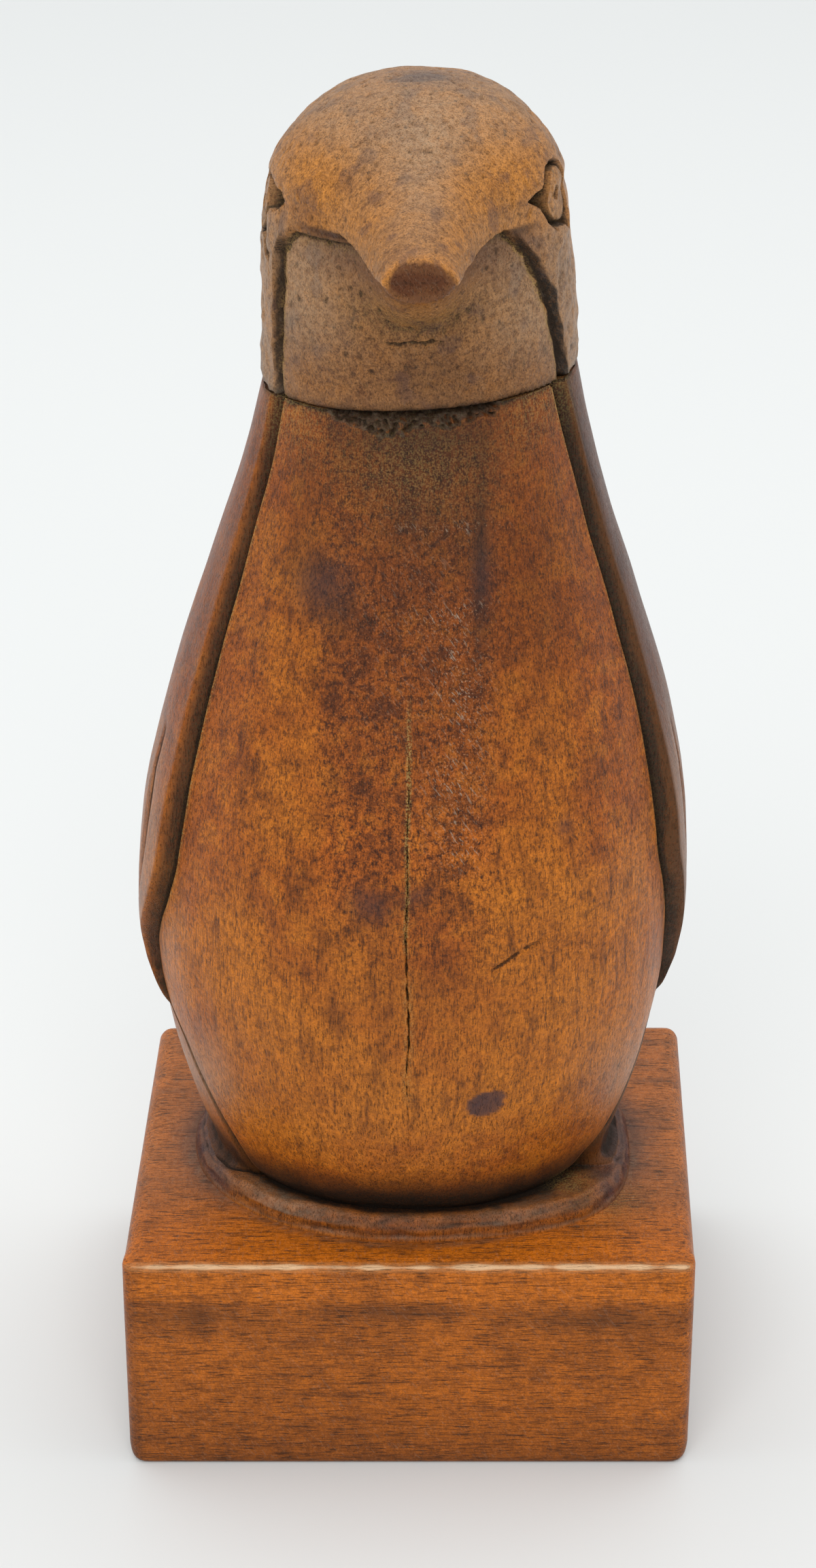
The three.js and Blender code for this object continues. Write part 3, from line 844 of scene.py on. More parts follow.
@dataclass
class Body:
    """The torso with its flippers and collar: a sphere whose columns run along the carved lines."""

    seam: Seam
    section: Section = field(default_factory=lambda: Section(
        side=Profile((29.2, 20.2), (32, 22.7), (38, 24.9), (46, 26.9), (54, 28.1), (62, 28.5),
                     (72, 27.9), (84, 25.8), (96, 22.6), (108, 19.0), (116, 16.9), (124, 15.3)),
        front=Profile((29.2, 17.2), (33, 19.6), (38, 21.7), (46, 23.6), (58, 24.8),
                      (70, 24.4), (84, 22.0), (98, 18.6), (112, 15.2), (124, 13.4)),
        back=Profile((29.2, 17.0), (33, 19.2), (38, 21.0), (46, 22.6), (58, 23.6),
                     (70, 23.2), (84, 21.6), (98, 19.0), (112, 16.6), (124, 15.4)),
        sway=Profile((27, -0.2), (40, -0.3), (56, -0.3), (84, 0.3), (124, 0.5)),
    ))
    foot: float = 27.0
    collar_reach: tuple[float, float] = (25.0, 20.4)
    collar_lean: tuple[float, float] = (1.1, 1.7)
    collar_inset: Profile = stations(
        (0, 0), (0.25, 0.10), (0.6, 0.42), (0.85, 0.8), (0.95, 1.0), (1, 1.45))
    collar_rise: Profile = stations(
        (0, 0), (0.25, 0.30), (0.6, 0.78), (0.85, 0.985), (0.95, 1.0), (1, 0.93))
    collar_rings: int = 16
    collar_top: float = 29.7
    collar_fall: float = 0.4
    cut_height: float = 29.2

    # The flippers: their front and rear edges as bearings, and how far they stand out
    flipper_front: dict[Hand, Profile] = field(default_factory=lambda: {
        Hand.LEFT: Profile(
            (28, 51.5), (33, 52), (36, 53.5), (39, 56), (42, 59), (45, 62.5), (47.5, 67), (49.5, 73),
            (51, 78.5), (53, 81), (56, 79.5), (61, 73), (65, 68), (70, 64.5), (76, 63.5), (126, 62.8)),
        Hand.RIGHT: Profile(
            (28, 57), (33, 58.5), (35.5, 64), (38.7, 68), (42.6, 70.5), (46, 74), (49, 79), (52, 82.5),
            (57, 79.5), (64, 74), (72, 68.5), (100, 67.3), (113, 65), (126, 58)),
    })
    flipper_rear: Profile = stations(
        (28, 118), (38, 108), (47, 94), (50, 93), (52, 101), (57, 112), (66, 121), (80, 127), (96, 127),
        (110, 122), (126, 116))
    flipper_lift: Profile = stations(
        (49.6, 0.35), (51, 0.9), (54, 1.5), (60, 1.8), (74, 1.7), (92, 1.2), (108, 0.8), (126, 0.5))
    flipper_tip: float = 49.8
    rear_step: float = 0.8

    # The cut along each flipper's front edge, which runs on down to the foot
    cut_depth: Profile = stations(
        (28, 1.2), (34, 1.1), (37, 0.6), (40, 0.35), (49, 0.35), (52, 0.6), (80, 0.6), (100, 0.8), (116, 1.1),
        (126, 1.1))
    cut_half_width: dict[Hand, Profile] = field(default_factory=lambda: {
        Hand.LEFT: Profile((28, 0.9), (36, 0.8), (39, 0.55), (49, 0.5), (53, 0.75), (75, 0.85), (126, 0.95)),
        Hand.RIGHT: Profile(
            (28, 2.2), (32, 2.1), (34, 1.7), (36, 1.1), (39, 0.7), (48, 0.6), (53, 0.85), (75, 1.0),
            (126, 1.0)),
    })

    # How far the side panels spread to the collar, by height
    panel_height: float = 29.0
    flare: Profile = stations(
        (29.2, 1.0), (30.0, 0.66), (31.2, 0.38), (33, 0.16), (36, 0.03), (38, 0))

    # The feathers' cuts: share of the flipper's breadth, lowest and highest point
    feathers: tuple[tuple[float, float, float], ...] = (
        (0.2, 58, 84), (0.42, 54, 80), (0.64, 56, 78), (0.84, 62, 80))
    feather_depth: float = 0.8
    feather_half_width: float = 0.9

    # The drying crack: its middle and its width, by height
    crack_line: Profile = stations(
        (30, -0.3), (39.7, -0.5), (45.9, -0.7), (51.6, -0.85), (56.1, -0.6), (58.7, -0.65), (62.8, -0.8),
        (68.5, -0.95), (73.9, -0.75), (78.3, -0.8), (85.4, -0.6), (92, -0.6))
    crack_width: Profile = stations(
        (31, 0.0), (38, 0.06), (47, 0.08), (52, 0.13), (57, 0.21), (61, 0.20), (64, 0.17), (70, 0.17),
        (78, 0.15), (86, 0.10), (92, 0.0))
    crack_depth: float = 0.8

    # The dents, each from its start to its end as seen from in front, and the broken filler
    scratch: tuple[Place, Place] = ((7.7, 64.0), (14.2, 67.5))
    fine_scratches: tuple[tuple[Place, Place], ...] = (
        ((1.6, 57.4), (5.2, 56.0)), ((2.6, 58.3), (6.6, 56.9)), ((4.4, 57.0), (7.2, 55.9)))
    chip_half_width: float = 9.0
    chip_height: Profile = stations(
        (-9, 0.3), (-7.5, 1.2), (-5, 1.5), (-3.6, 2.6), (0, 2.1), (4, 1.9), (6.5, 1.4), (9, 0.3))

    # Heights and shares where marks begin and are full
    stretch_from: float = 106.0
    level_from: float = 117.0
    middle_height: float = 100.0
    front_bearing: float = 62.0
    neck_from: float = 110.0
    breast_edge: Span = (10.5, 7.0)
    # Heights where the painted shade and dirt under the belly begin and are full
    foot_shade_and_dirt: Span = (37.5, 31.0)
    ledge_reach: tuple[float, float] = (20.6, 17.6)

    # Patches seen from in front, and the dust beside the foot and the ledge's wax from above
    soot_spots: Spots = (
        Spot(0.7, 0.5, 120.5, 9.5, 4.5), Spot(0.4, 1, 112, 6.5, 6), Spot(0.42, -10.2, 105, 2.6, 4.5, 30),
        Spot(0.25, -7, 101.5, 2.6, 2.2), Spot(0.6, 6.6, 107, 0.9, 9), Spot(0.3, -11, 113, 2, 4),
        Spot(0.4, -4.5, 72, 2.2, 2.4), Spot(0.35, -0.5, 73, 2.2, 1.6))
    dark_spots: Spots = (Spot(0.35, 12, 106, 4.5, 13), Spot(0.2, 0, 66, 8, 9))
    neck_dust: Spots = (Spot(0.25, 0, 117, 9, 5),)
    foot_dust: Spots = (Spot(0.6, 17.5, -12.5, 2.2, 2.6),)
    round_spot: Spots = (Spot(1, 7.7, 46.9, 2.2, 1.6, 22),)
    stains: Spots = (
        Spot(0.5, -4.8, 72.2, 2.2, 1.7, -30), Spot(0.55, -9.5, 104.5, 3.2, 2.4, 35),
        Spot(0.5, 15.5, 79, 0.8, 1.1), Spot(0.45, 0.2, 73.3, 1.5, 0.8, 20), Spot(0.4, 6.8, 106, 1.1, 3.5))
    warm_spots: Spots = (
        Spot(-0.2, 0, 98, 8, 18), Spot(0.35, 13.5, 82, 4.5, 14), Spot(0.35, -13, 92, 4, 14),
        Spot(-0.2, 0, 66, 8, 9))
    scuffs: Spots = (
        Spot(0.6, 4, 102.4, 3, 0.7, 8), Spot(0.6, 3.8, 110.9, 5, 0.35), Spot(0.6, 4.6, 95, 2.2, 5, 12),
        Spot(0.54, 4, 84, 2.6, 5, -10), Spot(0.48, 5, 78, 2, 2.2), Spot(0.15, 0, 100, 8, 14))
    ledge_wax: Spots = (Spot(0.7, -14.5, 0, 4.5, 1), Spot(0.3, 12, 0, 4, 1))
    # Painted sheen on the lower sides, seen from in front
    sheens: Spots = (Spot(0.6, -23.5, 44, 3.2, 7, -18), Spot(0.6, 23.0, 43, 3.2, 7, 18))

    # The mesh's rows and columns
    row_spacing: Profile = stations(
        (29.2, 0.25), (34, 0.5), (44, 0.45), (46.5, 0.2), (49, 0.3), (56, 0.46), (112, 0.5), (117, 0.34),
        (119.5, 0.2), (123, 0.17))
    refine_from: float = 118.2
    belly_columns: int = 88
    crack_columns: int = 13
    crack_band: float = 0.62
    cut_columns: int = 12
    flipper_columns: int = 40
    step_columns: int = 4
    back_columns: int = 28

    def columns(self, height: float) -> tuple[Array, Array, Array]:
        """The columns at one height, from straight behind round by the left, the front and the right.

        Args:
            height: The height.

        Returns:
            Each column's bearing, how far it stands out, and its share of the flipper, or -1 off it.
        """
        sides = {hand: self.side_columns(hand, height) for hand in Hand}
        left, right = sides[Hand.LEFT], sides[Hand.RIGHT]
        lips = {hand: self.lip(hand, height) for hand in Hand}
        ahead = float(self.section.front(height))
        crack = math.degrees(math.atan2(float(self.crack_line(height) - self.section.sway(height)), ahead))
        band = math.degrees(self.crack_band / ahead)
        belly = np.concatenate([
            np.linspace(-lips[Hand.LEFT], crack - band, self.belly_columns, endpoint=False),
            np.linspace(crack - band, crack + band, self.crack_columns, endpoint=False),
            np.linspace(crack + band, lips[Hand.RIGHT], self.belly_columns + 1),
        ])
        bearing = np.concatenate([[-180], -left[0][::-1], belly, right[0]])
        lift = np.concatenate([[0], left[1][::-1], 0 * belly, right[1]])
        share = np.concatenate([[-1], left[2][::-1], 0 * belly - 1, right[2]])
        return bearing, lift, share

    def lip(self, hand: Hand, height: float) -> float:
        """The belly's edge along the cut.

        Args:
            hand: The flipper's side.
            height: The height on the belly.

        Returns:
            Its bearing.
        """
        front = float(self.flipper_front[hand](height))
        half = float(self.cut_half_width[hand](height))
        return front - half / float(self.section.pace(np.array(hand.value * front), height))

    def side_columns(self, hand: Hand, height: float) -> tuple[Array, Array, Array]:
        """One side's columns, from the cut's lip to the middle of the back.

        Args:
            hand: The side.
            height: The height.

        Returns:
            Bearings, lifts and shares of the flipper.
        """
        front = float(self.flipper_front[hand](height))
        rear = float(self.flipper_rear(height))
        pace = float(self.section.pace(np.array(hand.value * front), height))
        above_tip = ramp(height, self.flipper_tip - 0.5, self.flipper_tip + 0.2)
        lift = float(self.flipper_lift(height)) * float(above_tip)
        depth = float(self.cut_depth(height))
        s = np.arange(1, self.cut_columns + 1) / self.cut_columns
        half = float(self.cut_half_width[hand](height))
        inner = front - half / pace
        outer = front + half / pace
        climb = (depth + lift) * np.clip(2 * s - 1, 0, 1) ** 0.75
        wall = np.where(s < 0.5, -depth * ramp(s, 0, 0.5) ** 0.8, -depth + climb)
        t = np.arange(1, self.flipper_columns + 1) / self.flipper_columns
        u = np.arange(1, self.step_columns + 1) / self.step_columns
        v = np.arange(1, self.back_columns + 1) / (self.back_columns + 1)
        heel = rear + self.rear_step / pace
        bearing = [inner + (outer - inner) * s, outer + (rear - outer) * t, rear + (heel - rear) * u,
                   heel + (180 - heel) * v]
        rise = [wall, lift + 0 * t, lift * (1 - u), 0 * v]
        share = [0 * s - 1, t, 0 * u - 1, 0 * v - 1]
        return np.concatenate(bearing), np.concatenate(rise), np.concatenate(share)

    def heights(self) -> Array:
        """The belly's rows, closer together at the foot, at the flippers' tips and under the joint.

        Returns:
            Their heights.
        """
        rows = [self.cut_height]
        while rows[-1] < self.seam.height:
            rows.append(rows[-1] + float(self.row_spacing(rows[-1])))
        rows = np.array(rows)
        return self.cut_height + (rows - self.cut_height) * (self.seam.height - self.cut_height) / (
            rows[-1] - self.cut_height)

    def build(self) -> bpy.types.Object:
        """Makes the body.

        Returns:
            The finished piece.
        """
        heights = self.heights()
        table = [self.columns(float(height)) for height in heights]
        bearing = np.array([row[0] for row in table])
        lift = np.array([row[1] for row in table])
        share = np.array([row[2] for row in table])
        level = np.repeat(heights[:, None], bearing.shape[1], 1)
        belly = self.section.place(bearing, level, lift)
        collar = self.collar(bearing[0])
        self.spread_foot(belly, collar[-1], bearing)
        self.meet_seam(belly)
        ledge = [collar[-1] * (1 - k) + belly[0] * k for k in np.arange(1, 8) / 8]
        rings = np.concatenate([self.cap(belly[-1]), belly[::-1], ledge[::-1], collar[::-1]])
        carving, ring, segment = start_sphere("body_carving", rings.shape[1], len(rings))
        inside = (ring > 0) & (ring <= len(rings))
        places = np.empty((len(ring), 3))
        places[inside] = rings[ring[inside] - 1, segment[inside]]
        places[ring == 0] = rings[0].mean(0)
        places[ring > len(rings)] = rings[-1].mean(0)
        carving.points = places
        caps = len(self.cap(belly[-1]))
        row = np.clip(len(heights) - 1 - (ring - 1 - caps), 0, len(heights) - 1)
        on_belly = (ring > caps) & (ring <= caps + len(heights))
        carving.mark("bearing", bearing[row, segment])
        carving.mark("height", level[row, segment])
        carving.mark("share", np.where(on_belly, share[row, segment], -1))
        carving.mark("on", on_belly)
        x, y, z = places.T
        fine = (np.abs(x) < self.chip_half_width + 1) & (z > self.refine_from) & (y < 0)
        off, along = stroke(x, z, *self.scratch)
        fine |= (np.abs(off) < 1.1) & (along > -0.1) & (along < 1.1) & (y < 0)
        carving.refine(fine & on_belly)
        details = {name: carving.read(name) for name in ("bearing", "height", "share", "on")}
        self.carve(carving, details)
        self.stain(carving, details)
        return carving.finish("body", "body_wood", BODY_WOOD, 75)

    def meet_seam(self, belly: Array) -> None:
        """Stretches the neck's rows up to the slanted joint, in place.

        Args:
            belly: The belly's rows.
        """
        start = self.stretch_from
        top = self.seam.level(belly[..., 0], belly[..., 1]) - JOINT_GAP
        share = np.clip((belly[..., 2] - start) / (self.seam.height - start), 0, 1)
        belly[..., 2] = np.where(share > 0, start + (top - start) * share, belly[..., 2])

    def spread_foot(self, belly: Array, rim: Array, bearing: Array) -> None:
        """Draws the side panels' lower rows out to the collar in a hollow curve, in place.

        Args:
            belly: The belly's rows.
            rim: The collar's upper rim.
            bearing: The columns' bearings at each row.
        """
        left, right = (self.flipper_front[hand](self.panel_height) for hand in Hand)
        front = np.where(bearing < 0, left, right)
        share = self.flare(belly[..., 2]) * ramp(np.abs(bearing) - front, 0.5, 9) * 0.9
        belly[..., :2] += (rim[None, :, :2] - belly[..., :2]) * share[..., None]

    def cap(self, rim: Array) -> Array:
        """Rings that close the body just inside its upper rim, from the middle outwards.

        Args:
            rim: The belly's uppermost row.

        Returns:
            The rings.
        """
        middle = rim.mean(0)
        rings = []
        for share, drop in ((0.5, 0.0), (0.955, 0.0), (0.975, 0.05), (0.99, 0.14)):
            ring = middle + (rim - middle) * share
            ring[:, 2] = self.seam.level(ring[:, 0], ring[:, 1]) - JOINT_GAP - drop
            rings.append(ring)
        return np.array(rings)

    def collar(self, bearing: Array) -> Array:
        """The collar's rings, from its foot up to the cut above it.

        Args:
            bearing: The columns' bearings.

        Returns:
            The rings, from the lowest up.
        """
        squareness = 2.1 + 0.75 * ramp(bearing, 5, 45) * ramp(bearing, 110, 80)
        across, ahead = np.sin(np.radians(bearing)), np.cos(np.radians(bearing))
        spread = (np.abs(across) ** squareness + np.abs(ahead) ** squareness) ** (-1 / squareness)
        chisel = 0.10 * np.sin(bearing * 0.33 + 1.3 * np.sin(bearing * 0.11)) + 0.04 * np.sin(bearing * 0.9)
        rings = []
        for share in np.linspace(0, 1, self.collar_rings + 1)[:-1]:
            worn = float(self.collar_inset(share))
            uneven = chisel * float(ramp(share, 0, 0.3))
            side = self.collar_reach[0] - worn * self.collar_lean[0] + uneven
            depth = self.collar_reach[1] - worn * self.collar_lean[1] + uneven
            x = side * across * spread - 0.2
            y = -depth * ahead * spread
            ends = 1 - self.collar_fall * ramp(np.abs(bearing), 45, 80)
            z = self.foot + (self.collar_top - self.foot) * float(self.collar_rise(share)) * ends
            rings.append(np.stack([x, y, z], -1))
        base = rings[0]
        middle = base.mean(0)
        floor = [middle + (base - middle) * share for share in (0.5, 0.97)]
        return np.array([*floor, *rings])

    def carve(self, carving: Carving, details: Details) -> None:
        """Adds the feathers' cuts, the crack, the scratches, the broken filler and the hand-made unevenness.

        Args:
            carving: The body.
            details: Each point's bearing, height, share of the flipper and whether it is on the belly.
        """
        places, outward = carving.points, carving.normals
        x, y, z = places.T
        level = outward * [1, 1, 0] / np.maximum(np.hypot(outward[:, 0], outward[:, 1]), 0.3)[:, None]
        inwards = np.stack([x, y, 0 * z], -1) / np.maximum(np.hypot(x, y), 1)[:, None]
        level = np.where((details["on"] > 0.5)[:, None], level, inwards)
        outward = np.where((z > self.level_from)[:, None], level, outward)
        facing = np.abs(details["bearing"]) < self.front_bearing
        front = ((details["on"] > 0.5) | (z > self.level_from)) & facing
        depth = np.zeros(len(places))
        for share, low, high in self.feathers:
            depth += self.feather(details, share, low, high)
        depth += self.crack(places) * front
        depth += self.scratches(x, z) * front
        depth += self.filler(places) * front
        depth += 0.10 * (rough(places, (7, 7, 16), 1) + 0.5 * rough(places, (2.6, 2.6, 7), 2)) * details["on"]
        seam_wear = ramp(z, self.seam.level(x, y) - 0.5, self.seam.level(x, y) - 0.05) * details["on"]
        depth += seam_wear * (0.12 + 0.10 * rough(places, (1.2, 1.2, 4), 9))
        lumps = 0.07 * rough(places, (1.6, 1.6, 0.7), 21) + 0.10 * rough(places, (5, 5, 0.5), 22)
        on_base = (details["on"] < 0.5) * (z < self.middle_height)
        depth += lumps * on_base * ramp(z, self.foot, self.foot + 1.2)
        fade = ramp(z, self.foot, self.foot + 0.6)
        carving.points = places - outward * (depth * fade)[:, None]

    def feather(self, details: Details, share: float, low: float, high: float) -> Array:
        """How deep one long chip cut is at each point.

        Args:
            details: As for carve.
            share: Where it lies across the flipper.
            low: Its lower end.
            high: Its upper end.

        Returns:
            The depth at each point.
        """
        breadth = self.section.pace(np.array(90.0), details["height"]) * (
            self.flipper_rear(details["height"]) - self.flipper_front[Hand.LEFT](details["height"]))
        off = np.abs(details["share"] - share) * breadth
        swell = np.sin(math.pi * np.clip((details["height"] - low) / (high - low), 0, 1)) ** 0.7
        width = self.feather_half_width * np.maximum(swell, 0.05)
        return np.where(details["share"] >= 0, self.feather_depth * swell * np.clip(1 - off / width, 0, 1), 0)

    def crack(self, places: Array) -> Array:
        """How deep the drying crack is at each point.

        Args:
            places: Points in millimetres, one row each.

        Returns:
            The depth at each point.
        """
        x, _, z = places.T
        jag = 0.10 * np.sin(z * 3.1) + 0.09 * np.sin(z * 6.1 + 1)
        width = self.crack_width(z) * (0.8 + 0.5 * np.sin(z * 2.3) * np.sin(z * 4.3 + 2))
        off = np.abs(x - self.crack_line(z) - jag * self.crack_width(z) * 2.0)
        profile = np.clip(1.3 - off / np.maximum(width * 0.5, 0.05), 0, 1)
        return self.crack_depth * ramp(width, 0.02, 0.25) * profile

    def scratches(self, x: Array, z: Array) -> Array:
        """How deep the slanting dent and the fine scratches beside it are.

        Args:
            x: Places across.
            z: Places upwards.

        Returns:
            The depth at each point.
        """
        off, along = stroke(x, z, *self.scratch)
        ends = ramp(along, -0.02, 0.18) * ramp(along, 1.04, 0.8)
        broken = 1 - 0.75 * np.exp(-(((along - 0.55) / 0.05) ** 2)) - 0.5 * ramp(along, 0.6, 0.7)
        depth = 0.34 * ends * broken * ramp(np.abs(off + 0.08 * np.sin(along * 9)), 0.36, 0.05)
        for start, end in self.fine_scratches:
            off, along = stroke(x, z, start, end)
            depth += 0.07 * ramp(along, 0, 0.2) * ramp(along, 1, 0.8) * np.clip(1 - np.abs(off) / 0.25, 0, 1)
        return depth

    def filler(self, places: Array) -> Array:
        """How deep the filler is broken out below the joint.

        Args:
            places: Points in millimetres, one row each.

        Returns:
            The depth at each point.
        """
        x, y, z = places.T
        below = self.seam.level(x, y) - z
        ragged = rough(places, (1.7, 1.7, 1.4), 5)
        fine = rough(places, (0.8, 0.8, 0.7), 6)
        reach = self.chip_height(x) + 0.5 * ragged + 0.35 * fine
        inside = ramp(reach - below, -0.1, 0.5) * ramp(self.chip_half_width - np.abs(x), 0, 1)
        crumbs = 0.75 + 0.75 * rough(places, (0.9, 0.9, 0.7), 7) + 0.4 * rough(places, (0.45, 0.45, 0.4), 8)
        crumbs += 0.7 * ramp(below, 0.75, 0.35) - 0.25 * ramp(below, 0.8, 2.2)
        return np.clip(0.8 * inside * crumbs, 0, 1.4) * (z > self.neck_from)

    def stain(self, carving: Carving, details: Details) -> None:
        """Marks where the wood is warm, sooty, dusty, stained or hazy, and where shade and sheen are painted.

        Args:
            carving: The body.
            details: As for carve.
        """
        at = BodyMap(self, carving.points, details)
        depth = carving.mark_cavity()
        carving.mark("cavity", np.where(at.chip > 0.1, np.maximum(depth, 0) * 0.7, np.maximum(depth, -0.04)))
        centre = ramp(np.abs(at.x + 0.8), *self.breast_edge) * ramp(at.z, 60, 80) * at.front
        carving.mark("warm", (0.6 * ramp(at.z, 92, 52) - 0.25 * ramp(at.z, 46, 36)
                              + patches(at.x, at.z, self.warm_spots)) * at.front)
        carving.mark_shares(
            soot=self.soot(at),
            dark=self.darkness(at),
            dust=self.dust(at),
            stain=self.stained(at),
            haze=self.haze(at),
            scuff=patches(at.x, at.z, self.scuffs) * at.front,
            mottle=0.15 + 0.25 * ramp(at.z, 45, 75) + 0.6 * centre,
        )

    def soot(self, at: "BodyMap") -> Array:
        """Dirt below the joint, on the breast and in the broken filler, and dirt with painted shade in the
        edge cuts, under the belly round the foot and at its root on the ledge.

        Args:
            at: The piece's map.

        Returns:
            The share at each point, from 0 up.
        """
        streaks = ramp(rough(at.places, (4, 4, 0.4), 42), -0.1, 0.5)
        crumbs = ramp(rough(at.places, (1.4, 1.4, 1.4), 44), -0.2, 0.5)
        panel = (at.on > 0.5) * ramp(at.z, 34, 31) * ramp(np.abs(at.bearing), 56, 64)
        ragged = at.below + 0.2 * rough(at.places, (1.5, 1.5, 1.5), 43)
        joint = 0.8 * ramp(ragged, 0.45, 0.1) * (at.z > self.neck_from)
        breast = patches(at.x, at.z, self.soot_spots) + 0.4 * ramp(at.below, 1.2, 0) + 0.3 * at.chip + at.pits
        # Painted shade with dirt under the belly, less on the side panels, black painted shadow at its root,
        # and streaky dirt on the collar's flank
        base = at.foot * (1 - 0.4 * panel) + 0.98 * at.root + 0.4 * at.flank * streaks
        return breast * at.front + base + 0.35 * at.ledge * crumbs + joint + self.wall(at)

    def darkness(self, at: "BodyMap") -> Array:
        """Where the colour is darker: the flippers, more at the viewer's right, the middle of the breast, the
        collar's flank and the back, and painted shade with dirt under the belly round the foot.

        Args:
            at: The piece's map.

        Returns:
            The share at each point, from 0 up.
        """
        side = np.where(at.x < 0, 0.12, 0.62) + 0.25 * ramp(at.z, 74, 96)
        breast = 0.32 * ramp(np.abs(at.x + 0.6), *self.breast_edge) * ramp(at.z, 74, 90)
        breast += 0.15 * (ramp(at.z, 37, 31) + ramp(at.z, 88, 104)) * at.on
        breast += patches(at.x, at.z, self.dark_spots)
        behind = 0.45 * ramp(np.abs(at.bearing), 128, 150) * at.on
        # at.foot here is painted shade with dirt under the belly
        return at.flipper * side + 0.5 * at.foot + 0.35 * at.flank + breast * at.front + behind

    def dust(self, at: "BodyMap") -> Array:
        """Pale dust along the flippers' cuts, in the crack, below the joint and beside the foot.

        Args:
            at: The piece's map.

        Returns:
            The share at each point, from 0 up.
        """
        off = np.abs(at.x - self.crack_line(at.z))
        crack = 0.8 * ramp(off, 0.40, 0.1) * ramp(at.z, 64, 70) * ramp(at.z, 96, 88)
        crack += 0.3 * ramp(off, 0.8, 0.2) * ramp(at.z, 46, 50) * ramp(at.z, 66, 62)
        neck = 0.3 * ramp(at.below, 8, 0) * ramp(np.abs(at.x), 7, 12) + patches(at.x, at.z, self.neck_dust)
        beside = patches(at.x, at.y, self.foot_dust) * (at.z < 31)
        return self.lip_dust(at) + (crack + neck) * at.front + beside

    def stained(self, at: "BodyMap") -> Array:
        """The round spot low on the belly, the blue-black stains and the collar's dark ends.

        Args:
            at: The piece's map.

        Returns:
            The share at each point, from 0 up.
        """
        edge = 0.08 * rough(at.places, (0.6, 0.6, 0.6), 31)
        spot = ramp(patches(at.x, at.z, self.round_spot) + edge, 0.3, 0.42)
        ends = ramp(np.abs(at.x), 19, 22.5) * at.base
        return (0.9 * spot + patches(at.x, at.z, self.stains)) * at.front + 0.85 * ends

    def haze(self, at: "BodyMap") -> Array:
        """Old wax on the ledge, pale lines along the collar's rim and foot, a grey film on the broken filler,
        and a painted sheen on the lower sides and along the flippers' outer edges.

        Args:
            at: The piece's map.

        Returns:
            The share at each point, from 0 up.
        """
        waxed = 0.2 + patches(at.x, 0 * at.x, self.ledge_wax)
        rim = 0.9 * ridge(at.reach, 1.19, 0.012) * ramp(np.abs(at.x), 12, 6) * at.ledge * (at.y < 0)
        # Painted sheen on the lower sides and along the flippers' outer edges
        sheen = patches(at.x, at.z, self.sheens) + 0.45 * at.flipper * ramp(np.abs(at.x), 25, 28.5)
        lower = 0.6 * ridge(at.z, self.foot + 0.4, 0.22) * (at.on < 0.5) * at.front
        return at.ledge * (1 - at.root) * waxed + rim + sheen + 0.3 * at.chip * (1 - at.pits) + lower

    def past_edge(self, at: "BodyMap", hand: Hand, lead: float) -> Array:
        """How far each point lies behind a flipper's front edge, in millimetres, from a lead in degrees."""
        edge = self.flipper_front[hand](at.height) - lead
        return (hand.value * at.bearing - edge) * self.section.pace(np.array(60.0), at.height)

    def wall(self, at: "BodyMap") -> Array:
        """Dirt and painted shade in the edge cuts, which reach further across at the viewer's right.

        Args:
            at: The piece's map.

        Returns:
            The share at each point, from 0 up.
        """
        dirt_and_shade = np.zeros(len(at.height))
        for hand, width, amount in ((Hand.LEFT, 1.3, 0.85), (Hand.RIGHT, 2.6, 1.0)):
            off = self.past_edge(at, hand, 0.5)
            # Dirt and painted shade along each flipper's front edge
            dirt_and_shade += amount * ramp(off, -0.5, 0) * ramp(off, width, width * 0.45)
        return dirt_and_shade * (at.on > 0.5) * ramp(at.height, 30, 36)

    def lip_dust(self, at: "BodyMap") -> Array:
        """The dust along the belly's edges, where the cuts begin.

        Args:
            at: The piece's map.

        Returns:
            The share at each point, from 0 up.
        """
        dust = np.zeros(len(at.height))
        for hand in Hand:
            off = self.past_edge(at, hand, 0)
            dust += ridge(off, -0.75, 0.38) * ramp(at.height, 44, 70) + 0.06 * ridge(off, 0.2, 0.8)
        return dust * at.on


class BodyMap:
    """What the body's marks go by: where each point of its mesh lies, and its share of each feature."""

    def __init__(self, body: Body, places: Array, details: Details) -> None:
        """Works the shares out.

        Args:
            body: The body.
            places: The mesh's points.
            details: As for Body.carve.
        """
        self.places = places
        self.x, self.y, self.z = places.T
        self.on, self.height, self.bearing = details["on"], details["height"], details["bearing"]
        self.front = ramp(-self.y, 2, 8)
        self.base = (self.on < 0.5) * (self.z < body.middle_height)
        self.below = body.seam.level(self.x, self.y) - self.z
        broken = body.filler(places)
        self.chip = ramp(broken, 0.05, 0.2) * self.front
        self.pits = ramp(broken, 0.55, 0.95) * self.front
        # Dirt and painted shade where the belly curves under towards its foot
        self.foot = ramp(self.z + 0.4 * rough(places, (3, 3, 2), 41), *body.foot_shade_and_dirt) * self.on
        self.ledge = ramp(self.z, body.foot + 1.3, body.foot + 1.5) * self.base
        self.reach = np.hypot(self.x / body.ledge_reach[0], self.y / body.ledge_reach[1])
        # Painted shadow with dirt where the belly meets the ledge
        self.root = self.ledge * ramp(self.reach, 1.12, 1.03)
        self.flank = ramp(self.z, body.foot + 0.1, body.foot + 0.5) * self.base * (1 - self.root)
        over_tip = ramp(self.z, body.flipper_tip - 1.5, body.flipper_tip)
        fading = np.maximum(over_tip, ramp(details["share"], 0.85, 0.2))
        self.flipper = ramp(details["share"], -0.01, 0.02) * self.on * fading


